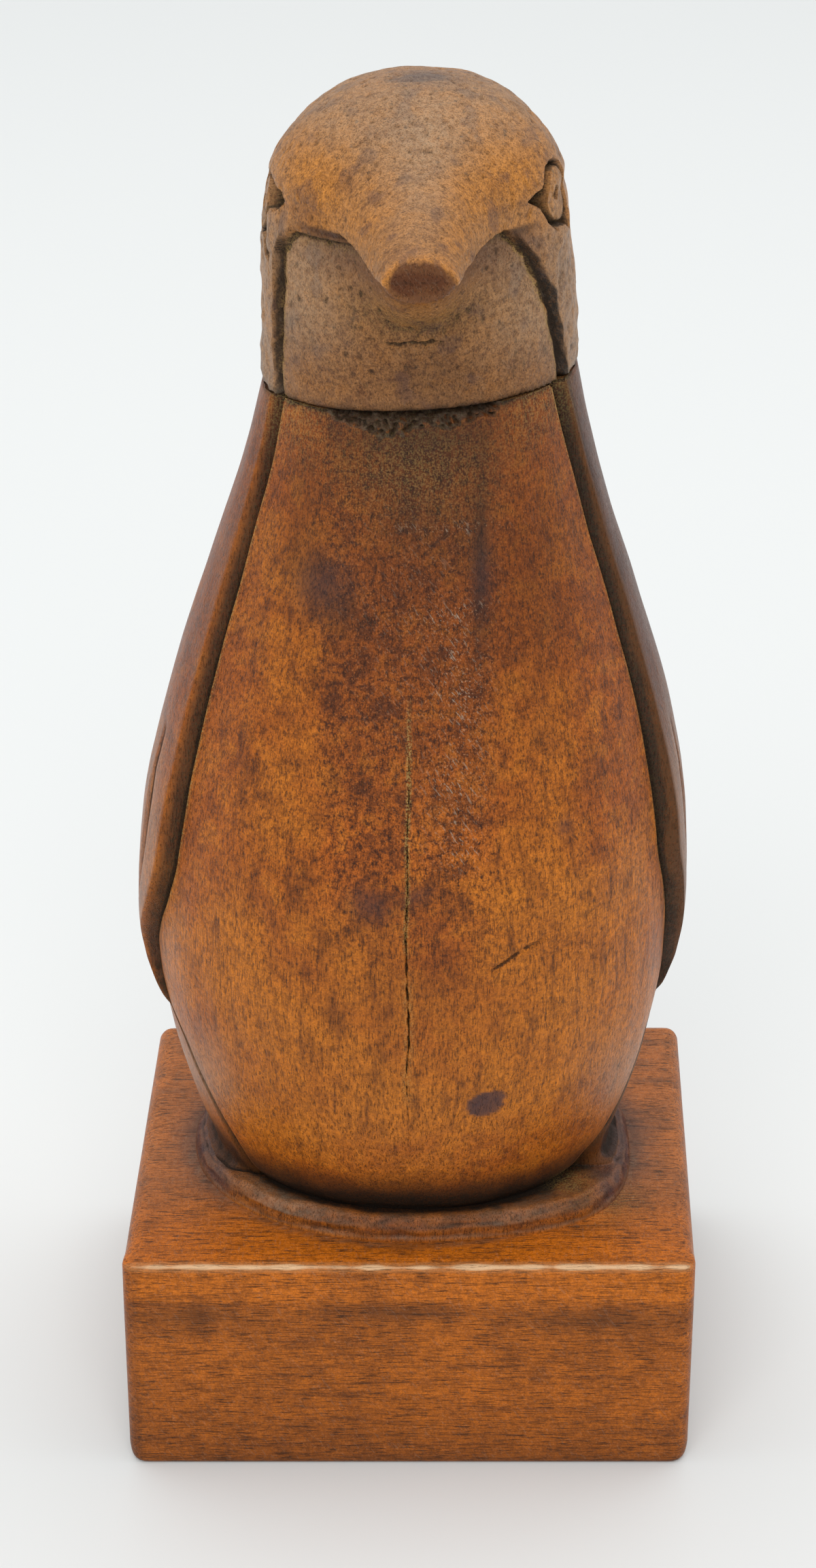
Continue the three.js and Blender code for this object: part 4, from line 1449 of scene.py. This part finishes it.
@dataclass
class Head:
    """Skull, neck and beak: a sphere round a point inside them, drawn out to the surface of a field."""

    seam: Seam
    section: Section = field(default_factory=lambda: Section(
        side=Profile((120, 16.3), (128, 16.1), (136, 15.7)),
        front=Profile((120, 13.4), (126, 14.0), (131, 14.6), (136, 14.6)),
        back=Profile((120, 15.4), (128, 15.8), (136, 16.2)),
        sway=Profile((130, 0.5), (142, 0), (151, 0.4)),
    ))
    crown: float = 152.85
    dome_from: float = 134.8
    dome_squareness: float = 2.4
    middle: Point = (0.4, -5.0, 142.6)
    mean_radius: float = 15.5
    degree: float = 0.27
    ray_span: Span = (2.0, 45.0)
    halvings: int = 20

    # The throat's edges as bearings, how deep it is cut back, and the cheek cuts along it
    throat_edge: dict[Hand, Profile] = field(default_factory=lambda: {
        Hand.LEFT: Profile(
            (120, 60.5), (128, 61.5), (136.5, 61.5), (138.4, 57.5), (140.2, 51), (141.4, 41)),
        Hand.RIGHT: Profile(
            (120, 63.5), (124, 62), (129, 57), (134, 52), (137, 47.5), (139.3, 41), (141.4, 34)),
    })
    throat_top: tuple[float, float] = (140.3, 141.4)
    throat_cut: Profile = stations(
        (120, 0.35), (130, 0.6), (137, 1.0), (141.4, 1.2))
    cheek_depth: float = 0.9
    cheek_half_width: float = 0.55

    # The beak, by distance in front of the head's middle
    beak_reach: float = 32.0
    tip_middle: Place = (0.7, 142.95)
    tip_size: Place = (3.1, 1.95)
    beak_half_width: Profile = stations(
        (3, 13.0), (6, 12.6), (9, 11.0), (12, 8.8), (15, 7.1), (19, 5.8), (25, 4.5), (32, 3.5))
    beak_ridge: Profile = stations(
        (3, 150.4), (5, 150.4), (9, 149.6), (14, 148.2), (20, 146.8), (26, 145.8), (32, 145.1))
    beak_mouth: Profile = stations(
        (5, 141.4), (12, 141.3), (20, 141.2), (26, 141.6), (32, 142.7))
    beak_keel: Profile = stations(
        (5, 131), (13, 131.6), (16, 133.2), (20, 136.4), (26, 139.2), (32, 140.9))
    keel_sharpness: Profile = stations((10, 0.6), (18, 0.9), (32, 1.2))
    mouth_ledge: Profile = stations(
        (5, 1.6), (12, 1.8), (20, 1.4), (28, 0.9), (32, 0.1))
    beak_sway: Profile = stations((5, 0.5), (20, 0.2), (32, 0.4))

    # The eyes: the outline of the hollow, forwards and upwards from its middle, and the disc left in it
    eye_bearing: dict[Hand, float] = field(default_factory=lambda: {Hand.LEFT: 78.0, Hand.RIGHT: 63.0})
    eye_height: float = 143.2
    eye_outline: dict[Hand, tuple[Place, ...]] = field(default_factory=lambda: {
        Hand.LEFT: (
            (4.9, -0.3), (3.9, 0.2), (2.7, 0.55), (1.2, 0.75), (-0.2, 0.8), (-1.6, 0.7), (-3.0, 0.2),
            (-4.1, -1.0), (-4.5, -2.6), (-4.4, -4.2), (-4.2, -5.4), (-3.4, -5.6), (-2.2, -5.8), (-0.9, -5.6),
            (0.2, -5.0),
            (1.1, -6.2), (2.3, -7.9), (1.9, -6.3), (1.4, -4.9), (1.5, -3.6), (1.5, -2.6), (2.2, -2.0),
            (3.3, -1.7), (4.1, -1.1)),
        Hand.RIGHT: (
            (4.7, 0.3), (3.4, 0.7), (2.3, 0.8), (1.75, 1.2), (1.3, 1.9), (0.5, 2.55), (-0.6, 2.9),
            (-1.9, 2.85), (-3.1, 2.2), (-3.8, 1.1), (-4.15, -0.3), (-4.1, -1.8), (-3.9, -3.2), (-4.4, -5.2),
            (-3.0, -4.3), (-1.8, -3.8), (-0.6, -3.8), (0.5, -3.6), (1.5, -2.8), (2.1, -1.8), (2.6, -1.0),
            (3.6, -0.4)),
    })
    eye_depth: float = 0.95
    eye_area: float = 10.0
    disc_centre: dict[Hand, Place] = field(default_factory=lambda: {
        Hand.LEFT: (-1.5, -2.6), Hand.RIGHT: (-1.15, -0.5)})
    disc_reach: tuple[float, float] = (2.35, 2.75)
    pupil_radius: float = 0.62

    # Marks, as seen from in front or, on the crown and the forehead, from above
    channel_fade: Span = (139.0, 131.0)
    chin_split: tuple[Place, Place] = ((-4.2, 130.0), (3.6, 130.45))
    split_area: Place = (4.6, 130.2)
    chin_dust: Spot = Spot(1, 0, 133.5, 6, 3)
    throat_soot: Spot = Spot(0.25, 2, 126, 5, 3)
    crown_stain: Spot = Spot(0.9, 1.0, 0.3, 3.6, 2.6)
    brow_stain: Spot = Spot(0.5, -10.8, 142.2, 1.6, 1.2)
    # Painted sheen along the forehead and the beak's ridge, seen from above
    forehead_sheen: Spot = Spot(0.45, 0.6, -16, 3.2, 10)
    ochre_spots: Spots = (Spot(0.8, -9.5, 144, 4.0, 5), Spot(0.75, 8.5, 147.5, 4.5, 4))

    # The mesh's rows and columns, crowded round the beak and in front
    columns: int = 344
    rows: int = 240
    ring_angles: Profile = stations(
        (0, 0), (0.05, 8.2), (0.10, 9.3), (0.19, 13), (0.28, 20), (0.37, 35), (0.46, 55), (0.54, 70),
        (0.65, 93), (0.80, 130), (1, 180))
    crowding: float = 14.0

    def skull(self, p: Array) -> tuple[Array, Array]:
        """The skull's field.

        Args:
            p: Points, one row each.

        Returns:
            About the distance outside the skull, and each point's bearing.
        """
        x, y, z = p.T
        across = (x - self.section.sway(z)) / self.section.side(z)
        ahead = -y / np.where(y < 0, self.section.front(z), self.section.back(z))
        power = self.section.squareness
        flat = (np.abs(across) ** power + np.abs(ahead) ** power) ** (1 / power)
        climb = np.clip((z - self.dome_from) / (self.crown - self.dome_from), 0, 1.5)
        ratio = (flat**self.dome_squareness + climb**self.dome_squareness) ** (1 / self.dome_squareness)
        return (ratio - 1) * self.mean_radius, np.degrees(np.arctan2(across, ahead))

    def beak(self, p: Array) -> Array:
        """About the distance outside the beak.

        Args:
            p: Points, one row each.

        Returns:
            The distances, negative inside it.
        """
        x, y, z = p.T
        reach = -y
        half, mouth = self.beak_half_width(reach), self.beak_mouth(reach)
        off = np.abs(x - self.beak_sway(reach))
        upper = np.hypot(off / half, np.maximum(z - mouth, 0) / (self.beak_ridge(reach) - mouth))
        upper = (upper - 1) * np.minimum(half, self.beak_ridge(reach) - mouth)
        upper = smooth_cut(upper, mouth - z, 0.35)
        narrow = half - self.mouth_ledge(reach)
        keel, sharp = self.beak_keel(reach), self.keel_sharpness(reach)
        drop = np.clip((mouth - z) / (mouth - keel), 0, 3) ** (1 / sharp)
        lower = (np.hypot(off / narrow, drop) - 1) * np.minimum(narrow, mouth - keel)
        lower = np.maximum(lower, z - mouth - 0.4)
        both = smooth_union(upper, lower, 0.3)
        both = np.maximum(both, 1 - reach)
        return smooth_cut(both, reach - self.beak_reach + 0.1, 0.6)

    def edge_distance(self, bearing: Array, z: Array) -> Array:
        """How far inside the throat's area each point is.

        Args:
            bearing: The points' bearings.
            z: Their heights.

        Returns:
            The distances in millimetres.
        """
        left = bearing + self.throat_edge[Hand.LEFT](z)
        right = self.throat_edge[Hand.RIGHT](z) - bearing
        return np.minimum(left, right) * self.degree

    def under_brow(self, p: Array) -> Array:
        """How far each point lies below the brow's lower edge, which is lower at the viewer's left."""
        left, right = self.throat_top
        return left + (right - left) * ramp(p[:, 0], -3, 3) - p[:, 2]

    def field(self, p: Array) -> Array:
        """About the distance outside the whole head, with the throat cut back under the brow.

        Args:
            p: Points, one row each.

        Returns:
            The distances, negative inside it.
        """
        z = p[:, 2]
        skull, bearing = self.skull(p)
        inside = self.edge_distance(bearing, z)
        area = ramp(inside, -0.1, 0.35) * ramp(self.under_brow(p), -0.05, 0.4)
        skull = skull + self.throat_cut(z) * area
        mouth = self.beak_mouth(-p[:, 1])
        above = ramp(z - mouth, 0.3, 3.0)
        whole = smooth_union(skull, self.beak(p), 0.9 + 2.6 * above)
        whole = whole + self.cuts(p, bearing, inside)
        base = self.seam.level(p[:, 0], p[:, 1]) + JOINT_GAP - z
        return smooth_cut(whole, base, 0.3)

    def cuts(self, p: Array, bearing: Array, inside: Array) -> Array:
        """The knife's cuts: cheek lines, eyes and the crease under the chin.

        Args:
            p: Points, one row each.
            bearing: Their bearings.
            inside: How far inside the throat's edge they are.

        Returns:
            How deep the surface is cut at each point.
        """
        x, y, z = p.T
        low = ramp(self.under_brow(p), 0.2, 2.7) * (y < -2)
        channel = 0.35 * ramp(bearing, 0, 10) * ramp(z, *self.channel_fade)
        wide = self.cheek_half_width * (1 + 0.2 * np.sin(z * 1.9) + 0.12 * np.sin(z * 5.3 + x) + channel)
        cheek = self.cheek_depth * low * ramp(np.abs(inside + 0.1 + 0.5 * channel), wide, 0.1)
        off, along = stroke(x, z, *self.chin_split)
        off = off + 0.07 * np.sin(x * 2.9) + 0.04 * np.sin(x * 7.1)
        nick = 0.32 * ramp(along, 0, 0.4) * ramp(along, 1, 0.8) * ramp(np.abs(off), 0.2, 0.03) * (y < -8)
        return cheek + nick + sum(self.eye(p, hand) for hand in Hand)

    def eye_frame(self, hand: Hand) -> tuple[Array, Array, Array]:
        """An eye's middle on the skull, and the directions forwards and upwards there.

        Args:
            hand: The eye's side.

        Returns:
            The three, each as a vector.
        """
        bearing = np.array(hand.value * self.eye_bearing[hand])
        middle = self.surface(bearing, self.eye_height)
        forward = self.surface(bearing - hand.value * 1.0, self.eye_height) - middle
        upward = self.surface(bearing, self.eye_height + 0.5) - middle
        return middle, forward / np.linalg.norm(forward), upward / np.linalg.norm(upward)

    def close(self, height: float) -> float:
        """How far the dome has closed in at a height, from 1 down to 0."""
        climb = max(0.0, (height - self.dome_from) / (self.crown - self.dome_from))
        return (1 - climb**self.dome_squareness) ** (1 / self.dome_squareness)

    def surface(self, bearing: Array, height: float) -> Array:
        """A point on the bare skull.

        Args:
            bearing: Its bearing.
            height: Its height.

        Returns:
            The point.
        """
        place = self.section.place(bearing, np.array(height))
        sway = float(self.section.sway(height))
        close = self.close(height)
        return np.array([(place[0] - sway) * close + sway, place[1] * close, height])

    def eye_chart(self, p: Array, hand: Hand) -> tuple[Array, Array, Array, Array]:
        """How points lie to one eye.

        Args:
            p: Points, one row each.
            hand: The eye's side.

        Returns:
            Which points are near it, and for those how far they are inside its hollow, outside its disc and
            from its pupil's middle.
        """
        middle, forward, upward = self.eye_frame(hand)
        near = np.linalg.norm(p - middle, axis=1) < self.eye_area
        u, v = (p[near] - middle) @ forward, (p[near] - middle) @ upward
        hollow = inside_of(u, v, self.eye_outline[hand])
        across, over = u - self.disc_centre[hand][0], v - self.disc_centre[hand][1]
        ratio = np.hypot(across / self.disc_reach[0], over / self.disc_reach[1])
        hole = np.hypot(across - 0.2, over - 0.1)
        return near, hollow, (ratio - 1) * self.disc_reach[0], hole

    def eye(self, p: Array, hand: Hand) -> Array:
        """How deep one eye's hollow and pupil are cut round its raised disc.

        Args:
            p: Points, one row each.
            hand: The eye's side.

        Returns:
            The depth at each point.
        """
        near, hollow, off_disc, hole = self.eye_chart(p, hand)
        middle, forward, _ = self.eye_frame(hand)
        rear = ramp((p[near] - middle) @ forward, -5.4, -3.4)
        cut = self.eye_depth * (0.4 + 0.6 * rear) * ramp(hollow, -0.05, 0.25) * ramp(off_disc, -0.15, 0.12)
        cut += 0.12 * ramp(hollow, 0, 0.3) * ramp(off_disc, 0.1, -0.3)
        cut += 0.7 * ramp(hollow, 0.1, 0.5) * ramp(off_disc, 0.1, 0.6)
        cut += 0.9 * ramp(hole, self.pupil_radius + 0.06, self.pupil_radius - 0.22)
        depth = np.zeros(len(p))
        depth[near] = cut
        return depth

    def build(self) -> bpy.types.Object:
        """Makes the head.

        Returns:
            The finished piece.
        """
        forward = Matrix.Rotation(math.radians(90), 4, "X")
        carving, ring, segment = start_sphere("head_carving", self.columns, self.rows, forward)
        theta = np.radians(self.ring_angles(ring / (self.rows + 1)))
        around = segment / self.columns * 360
        phi = np.radians(around + self.crowding * np.sin(np.radians(around)))
        rays = [-np.sin(theta) * np.sin(phi), -np.cos(theta), -np.sin(theta) * np.cos(phi)]
        places = self.reach(np.stack(rays, -1))
        carving.points = places
        if self.turned_in(carving):
            carving.piece.data.flip_normals()
        carving.refine(self.finely_cut(places))
        rays = carving.points - self.middle
        places = self.reach(rays / np.linalg.norm(rays, axis=1)[:, None])
        carving.points = places
        carving.points = places - carving.normals * self.wear(places)[:, None]
        self.stain(carving)
        return carving.finish("head", "head_wood", HEAD_WOOD, 75)

    def finely_cut(self, places: Array) -> Array:
        """Which points lie in an eye's hollow or along the split in the chin.

        Args:
            places: Points in millimetres, one row each.

        Returns:
            True for those points.
        """
        x, y, z = places.T
        fine = (np.abs(x) < self.split_area[0]) & (np.abs(z - self.split_area[1]) < 0.8) & (y < -8)
        for hand in Hand:
            near, hollow, _, _ = self.eye_chart(places, hand)
            fine[near] |= hollow > -0.9
        return fine

    def wear(self, places: Array) -> Array:
        """How deep the knife's unevenness, the chips above the joint and the beak's broken tip are.

        Args:
            places: Points in millimetres, one row each.

        Returns:
            The depth at each point.
        """
        unevenness = 0.09 * rough(places, (3.5, 3.5, 4), 11) + 0.05 * rough(places, (1.1, 1.1, 1.4), 12)
        unevenness += 0.14 * self.cheek(places) * rough(places, (1.4, 1.4, 2.0), 15)
        unevenness += 0.10 * ramp(rough(places, (0.7, 0.7, 1.0), 16), 0.45, 0.8)
        above = places[:, 2] - self.seam.level(places[:, 0], places[:, 1])
        base = 0.20 * (0.7 + rough(places, (1.3, 1.3, 3), 14)) * ramp(above, 0.8, 0.15)
        tip = ramp(-places[:, 1], self.beak_reach - 0.8, self.beak_reach - 0.4)
        face = self.tip_face(places) * (0.8 + 0.25 * rough(places, (1.6, 9, 1.2), 13))
        depth = unevenness * ramp(above, 0.0, 0.6) * (1 - tip)
        return depth + (base * ramp(above, 0.02, 0.15) + 0.28 * face * tip)

    def cheek(self, p: Array) -> Array:
        """The share of the rough cheeks, outside the throat's edge.

        Args:
            p: Points, one row each.

        Returns:
            The share at each point, from 0 up.
        """
        _, bearing = self.skull(p)
        outside = -self.edge_distance(bearing, p[:, 2])
        return ramp(outside, 0.3, 1.0) * ramp(outside, 11, 7) * ramp(p[:, 2], 142, 139)

    def tip_face(self, p: Array) -> Array:
        """The share of the dark broken face on the beak's tip.

        Args:
            p: Points, one row each.

        Returns:
            The share at each point, from 0 up.
        """
        x, _, z = p.T
        across = (x - self.tip_middle[0]) / self.tip_size[0]
        over = (z - self.tip_middle[1] + 0.1 * (x - 0.4)) / self.tip_size[1]
        off = np.abs(across) ** 2.4 + np.abs(over) ** 2.2
        turn = np.arctan2(z - 143, x - 0.4)
        return ramp(off + 0.1 * np.sin(5 * turn) + 0.08 * np.sin(3 * turn + 1), 1.15, 0.85)

    def reach(self, rays: Array) -> Array:
        """Draws rays out from the middle to the surface.

        Args:
            rays: Directions, one row each.

        Returns:
            Where each ray leaves the head.
        """
        low, high = (np.full(len(rays), end) for end in self.ray_span)
        for _ in range(self.halvings):
            half = (low + high) / 2
            inside = self.field(np.array(self.middle) + rays * half[:, None]) < 0
            low, high = np.where(inside, half, low), np.where(inside, high, half)
        return np.array(self.middle) + rays * low[:, None]

    @staticmethod
    def turned_in(carving: Carving) -> bool:
        """Whether the mesh's faces point inwards.

        Args:
            carving: The carving.

        Returns:
            True where they do.
        """
        mesh = bmesh.new()
        mesh.from_mesh(carving.piece.data)
        volume = mesh.calc_volume(signed=True)
        mesh.free()
        return volume < 0

    def stain(self, carving: Carving) -> None:
        """Marks where the wood is warm, sooty, dusty, stained or hazy, and where shade and sheen are painted.

        Args:
            carving: The head.
        """
        at = HeadMap(self, carving.points)
        depth = carving.mark_cavity()
        carving.mark("cavity", np.maximum(depth, np.where(at.cheek > 0.05, 0, -0.035)))
        carving.mark("warm", self.warmth(at))
        carving.mark("mottle", 0.6 + 0.4 * np.maximum(at.cheek, at.throat * ramp(at.z, 137, 129)))
        carving.mark_shares(
            soot=self.soot(at),
            dust=0.8 * at.lip + 0.3 * at.chin + 0.35 * at.throat * ramp(at.brow, 2.2, 0.3) + at.specks,
            dark=self.darkness(at),
            stain=self.stained(at),
            haze=self.haze(at),
            scuff=np.array(0.06),
        )

    def soot(self, at: "HeadMap") -> Array:
        """Dirt above the joint and in the pores, and dirt with painted shade in the cheek cuts and the eyes,
        under the brow and in a line under the beak's edges.

        Args:
            at: The piece's map.

        Returns:
            The share at each point, from 0 up.
        """
        near_joint = ramp(at.above + 0.2 * rough(at.places, (1.5, 1.5, 1.5), 43), 0.4, 0.1)
        pores = ramp(rough(at.places, (0.6, 0.6, 0.6), 52), 0.85, 1.0) * (1 - at.beak)
        # Painted shadow in a line under the overhanging edges of the upper beak
        mouth = ramp(at.drop, -0.1, 0.2) * ramp(at.drop, 1.6, 0.5) * at.beak_root * ramp(-at.y, 28, 22)
        # Painted shade with dirt in the cheek cuts and the eyes
        cuts = 0.95 * at.groove + at.eye_shade + 0.6 * mouth
        # Dirt on the chin, and painted shade on the throat just under the brow
        throat = 0.3 * at.chin + 0.5 * at.throat * ramp(at.brow, 1.6, 0.2)
        throat += self.throat_soot.at(at.x, at.z) * at.front
        joint = 0.35 * ramp(at.above, 2.0, 0) + 0.7 * near_joint
        return joint + cuts + throat + 0.05 * at.cheek + 0.6 * pores

    def darkness(self, at: "HeadMap") -> Array:
        """Where the colour is darker: the beak's broken tip, the cheeks and the lower throat, and a painted
        shadow under the beak.

        Args:
            at: The piece's map.

        Returns:
            The share at each point, from 0 up.
        """
        # Painted shadow on the beak's underside and the throat under it
        under = ramp(at.drop, -0.2, 0.5) * ramp(at.drop, 7, 2) * at.beak_root * (1 - at.tip)
        return at.tip + 0.2 * at.cheek + 0.35 * at.throat * ramp(at.z, 136, 127) + 0.7 * under

    def stained(self, at: "HeadMap") -> Array:
        """The dark patch on the crown, the one before the eye at the viewer's left, and small spots.

        Args:
            at: The piece's map.

        Returns:
            The share at each point, from 0 up.
        """
        crown = self.crown_stain.at(at.x, at.y) * ramp(at.z, 150, 152)
        spots = 0.4 * ramp(rough(at.places, (2.2, 2.2, 2.2), 51), 0.42, 0.75)
        return (crown + 0.1 * at.throat + spots + self.brow_stain.at(at.x, at.z) * at.front) * (1 - at.tip)

    def warmth(self, at: "HeadMap") -> Array:
        """Ochre patches over the eyes, on the rim of the beak's tip and under the brow.

        Args:
            at: The piece's map.

        Returns:
            The share at each point, from 0 up.
        """
        rim = 0.6 * ramp(-at.y, 29, 31.5) * (1 - at.tip)
        throat = at.throat * (0.5 * ramp(at.brow, 4, 0.5) - 0.3)
        return (patches(at.x, at.z, self.ochre_spots) + rim + throat) * at.front + 0.1

    def haze(self, at: "HeadMap") -> Array:
        """Painted sheen, as a grey film, on the throat's sides, the head's sides, the cheeks, the crown and
        along the forehead and the beak's ridge, but in no cut.

        Args:
            at: The piece's map.

        Returns:
            The share at each point, from 0 up.
        """
        # Painted sheen on the throat's and the head's sides, the crown, the forehead and the cheeks
        sides = 0.65 * at.throat * ramp(np.abs(at.x), 3, 12) * ramp(at.z, 124, 132)
        sides += 0.3 * ramp(np.abs(at.x), 11, 15)
        top = 0.55 * ramp(at.z, 146, 151) + self.forehead_sheen.at(at.x, at.y) * ramp(at.z, 144, 146)
        return (sides + top + 0.3 * at.cheek) * np.clip(1 - at.tip - at.groove - at.eye_shade, 0, 1)


class HeadMap:
    """What the head's marks go by: where each point of its mesh lies, and its share of each feature."""

    def __init__(self, head: Head, places: Array) -> None:
        """Works the shares out.

        Args:
            head: The head.
            places: The mesh's points.
        """
        self.places = places
        self.x, self.y, self.z = places.T
        _, bearing = head.skull(places)
        inside = head.edge_distance(bearing, self.z)
        self.cheek = head.cheek(places)
        self.front = ramp(-self.y, 0, 5)
        self.brow = head.under_brow(places)
        self.above = self.z - head.seam.level(self.x, self.y)
        self.drop = head.beak_mouth(-self.y) - self.z
        self.beak = ramp(-self.y, 15, 19)
        self.beak_root = ramp(-self.y, 8, 12)
        self.tip = ramp(-self.y, head.beak_reach - 1.2, head.beak_reach - 0.5) * head.tip_face(places)
        self.throat = ramp(self.brow, 0, 1.0) * ramp(inside, 0, 0.6) * self.front * ramp(-self.y, 22, 15)
        self.chin = head.chin_dust.at(self.x, self.z) * self.front * (1 - self.beak)
        self.lip = ridge(inside, 0.5, 0.35) * ramp(self.brow, 0, 3) * self.front
        crumbs = 0.6 + 0.5 * rough(places, (1.5, 1.5, 2.5), 53)
        channel = ramp(bearing, 0, 10) * ramp(self.z, *head.channel_fade) * crumbs
        across = ramp(inside, 0.2, -0.1) * ramp(inside + channel, -0.95, -0.5)
        self.groove = across * ramp(self.brow, 0.4, 2) * self.front
        self.eye_shade = np.zeros(len(places))
        self.specks = np.zeros(len(places))
        for hand in Hand:
            near, hollow, off_disc, hole = head.eye_chart(places, hand)
            # Painted shade with dirt in the hollow round the disc, and in the pupil
            self.eye_shade[near] += 0.95 * ramp(hollow, -0.08, 0.12) * ramp(off_disc, -0.25, -0.05)
            self.eye_shade[near] += ramp(hole, head.pupil_radius + 0.12, head.pupil_radius - 0.05)
            self.specks[near] += 0.15 * ramp(hollow, 0.1, 0.5)


@dataclass
class Studio:
    """The camera, the pale floor and the soft lights."""

    camera_place: Point = (-0.0007, -0.3399, 0.2558)
    camera_pitch: float = 28.2
    focal_length: float = 80.9
    floor_reach: float = 8.0
    floor_colour: Colour = (0.83, 0.84, 0.82)
    room_colour: Colour = (0.93, 0.96, 1.0)
    room_strength: float = 0.55
    aim: Point = (0, 0, 0.08)

    # The lights: name, place, width and height, power
    lights: tuple[tuple[str, Point, Span, float], ...] = (
        ("left", (-0.70, 0.15, 0.40), (0.8, 0.9), 1.0),
        ("right", (0.70, 0.15, 0.40), (0.8, 0.9), 1.0),
        ("overhead", (0.0, 0.35, 1.10), (1.6, 1.3), 6.2),
        ("front", (-0.1, -0.85, 0.95), (1.0, 0.6), 5.5),
    )

    def build(self) -> None:
        """Makes the camera, the floor, the lights and the world."""
        bpy.context.scene.view_settings.view_transform = "Standard"
        self.add_camera()
        self.add_floor()
        for light in self.lights:
            self.add_light(*light)
        self.add_world()

    def add_camera(self) -> None:
        """Adds the camera at the photograph's viewing angle."""
        turn = (math.radians(90 - self.camera_pitch), 0, 0)
        bpy.ops.object.camera_add(location=self.camera_place, rotation=turn)
        camera = bpy.context.active_object
        camera.data.lens = self.focal_length
        camera.data.clip_start = 0.01
        bpy.context.scene.camera = camera

    def add_floor(self) -> None:
        """Adds a plain pale floor."""
        bpy.ops.object.select_all(action="DESELECT")
        bpy.ops.mesh.primitive_plane_add(size=self.floor_reach)
        floor = bpy.context.active_object
        floor.name = "floor"
        g = Graph("floor_paper")
        inputs = {"Base Color": (*self.floor_colour, 1), "Roughness": 0.8}
        shader = g.node("ShaderNodeBsdfPrincipled", {}, inputs)
        g.node("ShaderNodeOutputMaterial", {}, {"Surface": shader.outputs[0]})
        floor.data.materials.append(g.material)

    def add_light(self, name: str, place: Point, size: Span, power: float) -> None:
        """Adds a soft box that faces the carving.

        Args:
            name: The light's name.
            place: Where it stands, in metres.
            size: Its width and height in metres.
            power: Its power in watts.
        """
        bpy.ops.object.light_add(type="AREA", location=place)
        light = bpy.context.active_object
        light.name = name
        light.data.shape = "RECTANGLE"
        light.data.size, light.data.size_y = size
        light.data.energy = power
        light.rotation_euler = (Vector(self.aim) - Vector(place)).to_track_quat("-Z", "Y").to_euler()

    def add_world(self) -> None:
        """Fills the room with even, slightly cool light."""
        world = bpy.data.worlds.new("room")
        bpy.context.scene.world = world
        world.use_nodes = True
        background = world.node_tree.nodes["Background"]
        background.inputs["Color"].default_value = (*self.room_colour, 1)
        background.inputs["Strength"].default_value = self.room_strength


BODY_WOOD = Wood(
    name="waxed_red_wood",
    deep=(0.070, 0.017, 0.004),
    plain=(0.320, 0.076, 0.006),
    warm=(0.470, 0.140, 0.010),
    grain=(1, 1, 0.14),
    pale=(0.52, 0.17, 0.03),
    mottle=0.9,
)
HEAD_WOOD = Wood(
    name="waxed_grey_wood",
    deep=(0.105, 0.030, 0.007),
    plain=(0.365, 0.160, 0.048),
    warm=(0.470, 0.180, 0.030),
    grain=(1, 1, 0.5),
    haze=(0.420, 0.310, 0.205),
    streaks=0.15,
    mottle=0.5,
    pores=0.25,
    fibres=0.14,
)
PLINTH_WOOD = Wood(
    name="waxed_plank",
    deep=(0.085, 0.024, 0.006),
    plain=(0.345, 0.089, 0.005),
    warm=(0.530, 0.138, 0.007),
    grain=(0.07, 0.9, 1.7),
    streaks=0.38,
    mottle=0.35,
    pores=0.7,
    fibres=0.26,
)


def main() -> None:
    """Builds the pieces and the studio."""
    logging.basicConfig(level=logging.INFO, format="%(name)s: %(message)s")
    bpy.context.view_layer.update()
    seam = Seam()
    Studio().build()
    for sub_assembly in (Plinth(), Body(seam), Head(seam)):
        sub_assembly.build()


if __name__ == "__main__":
    main()
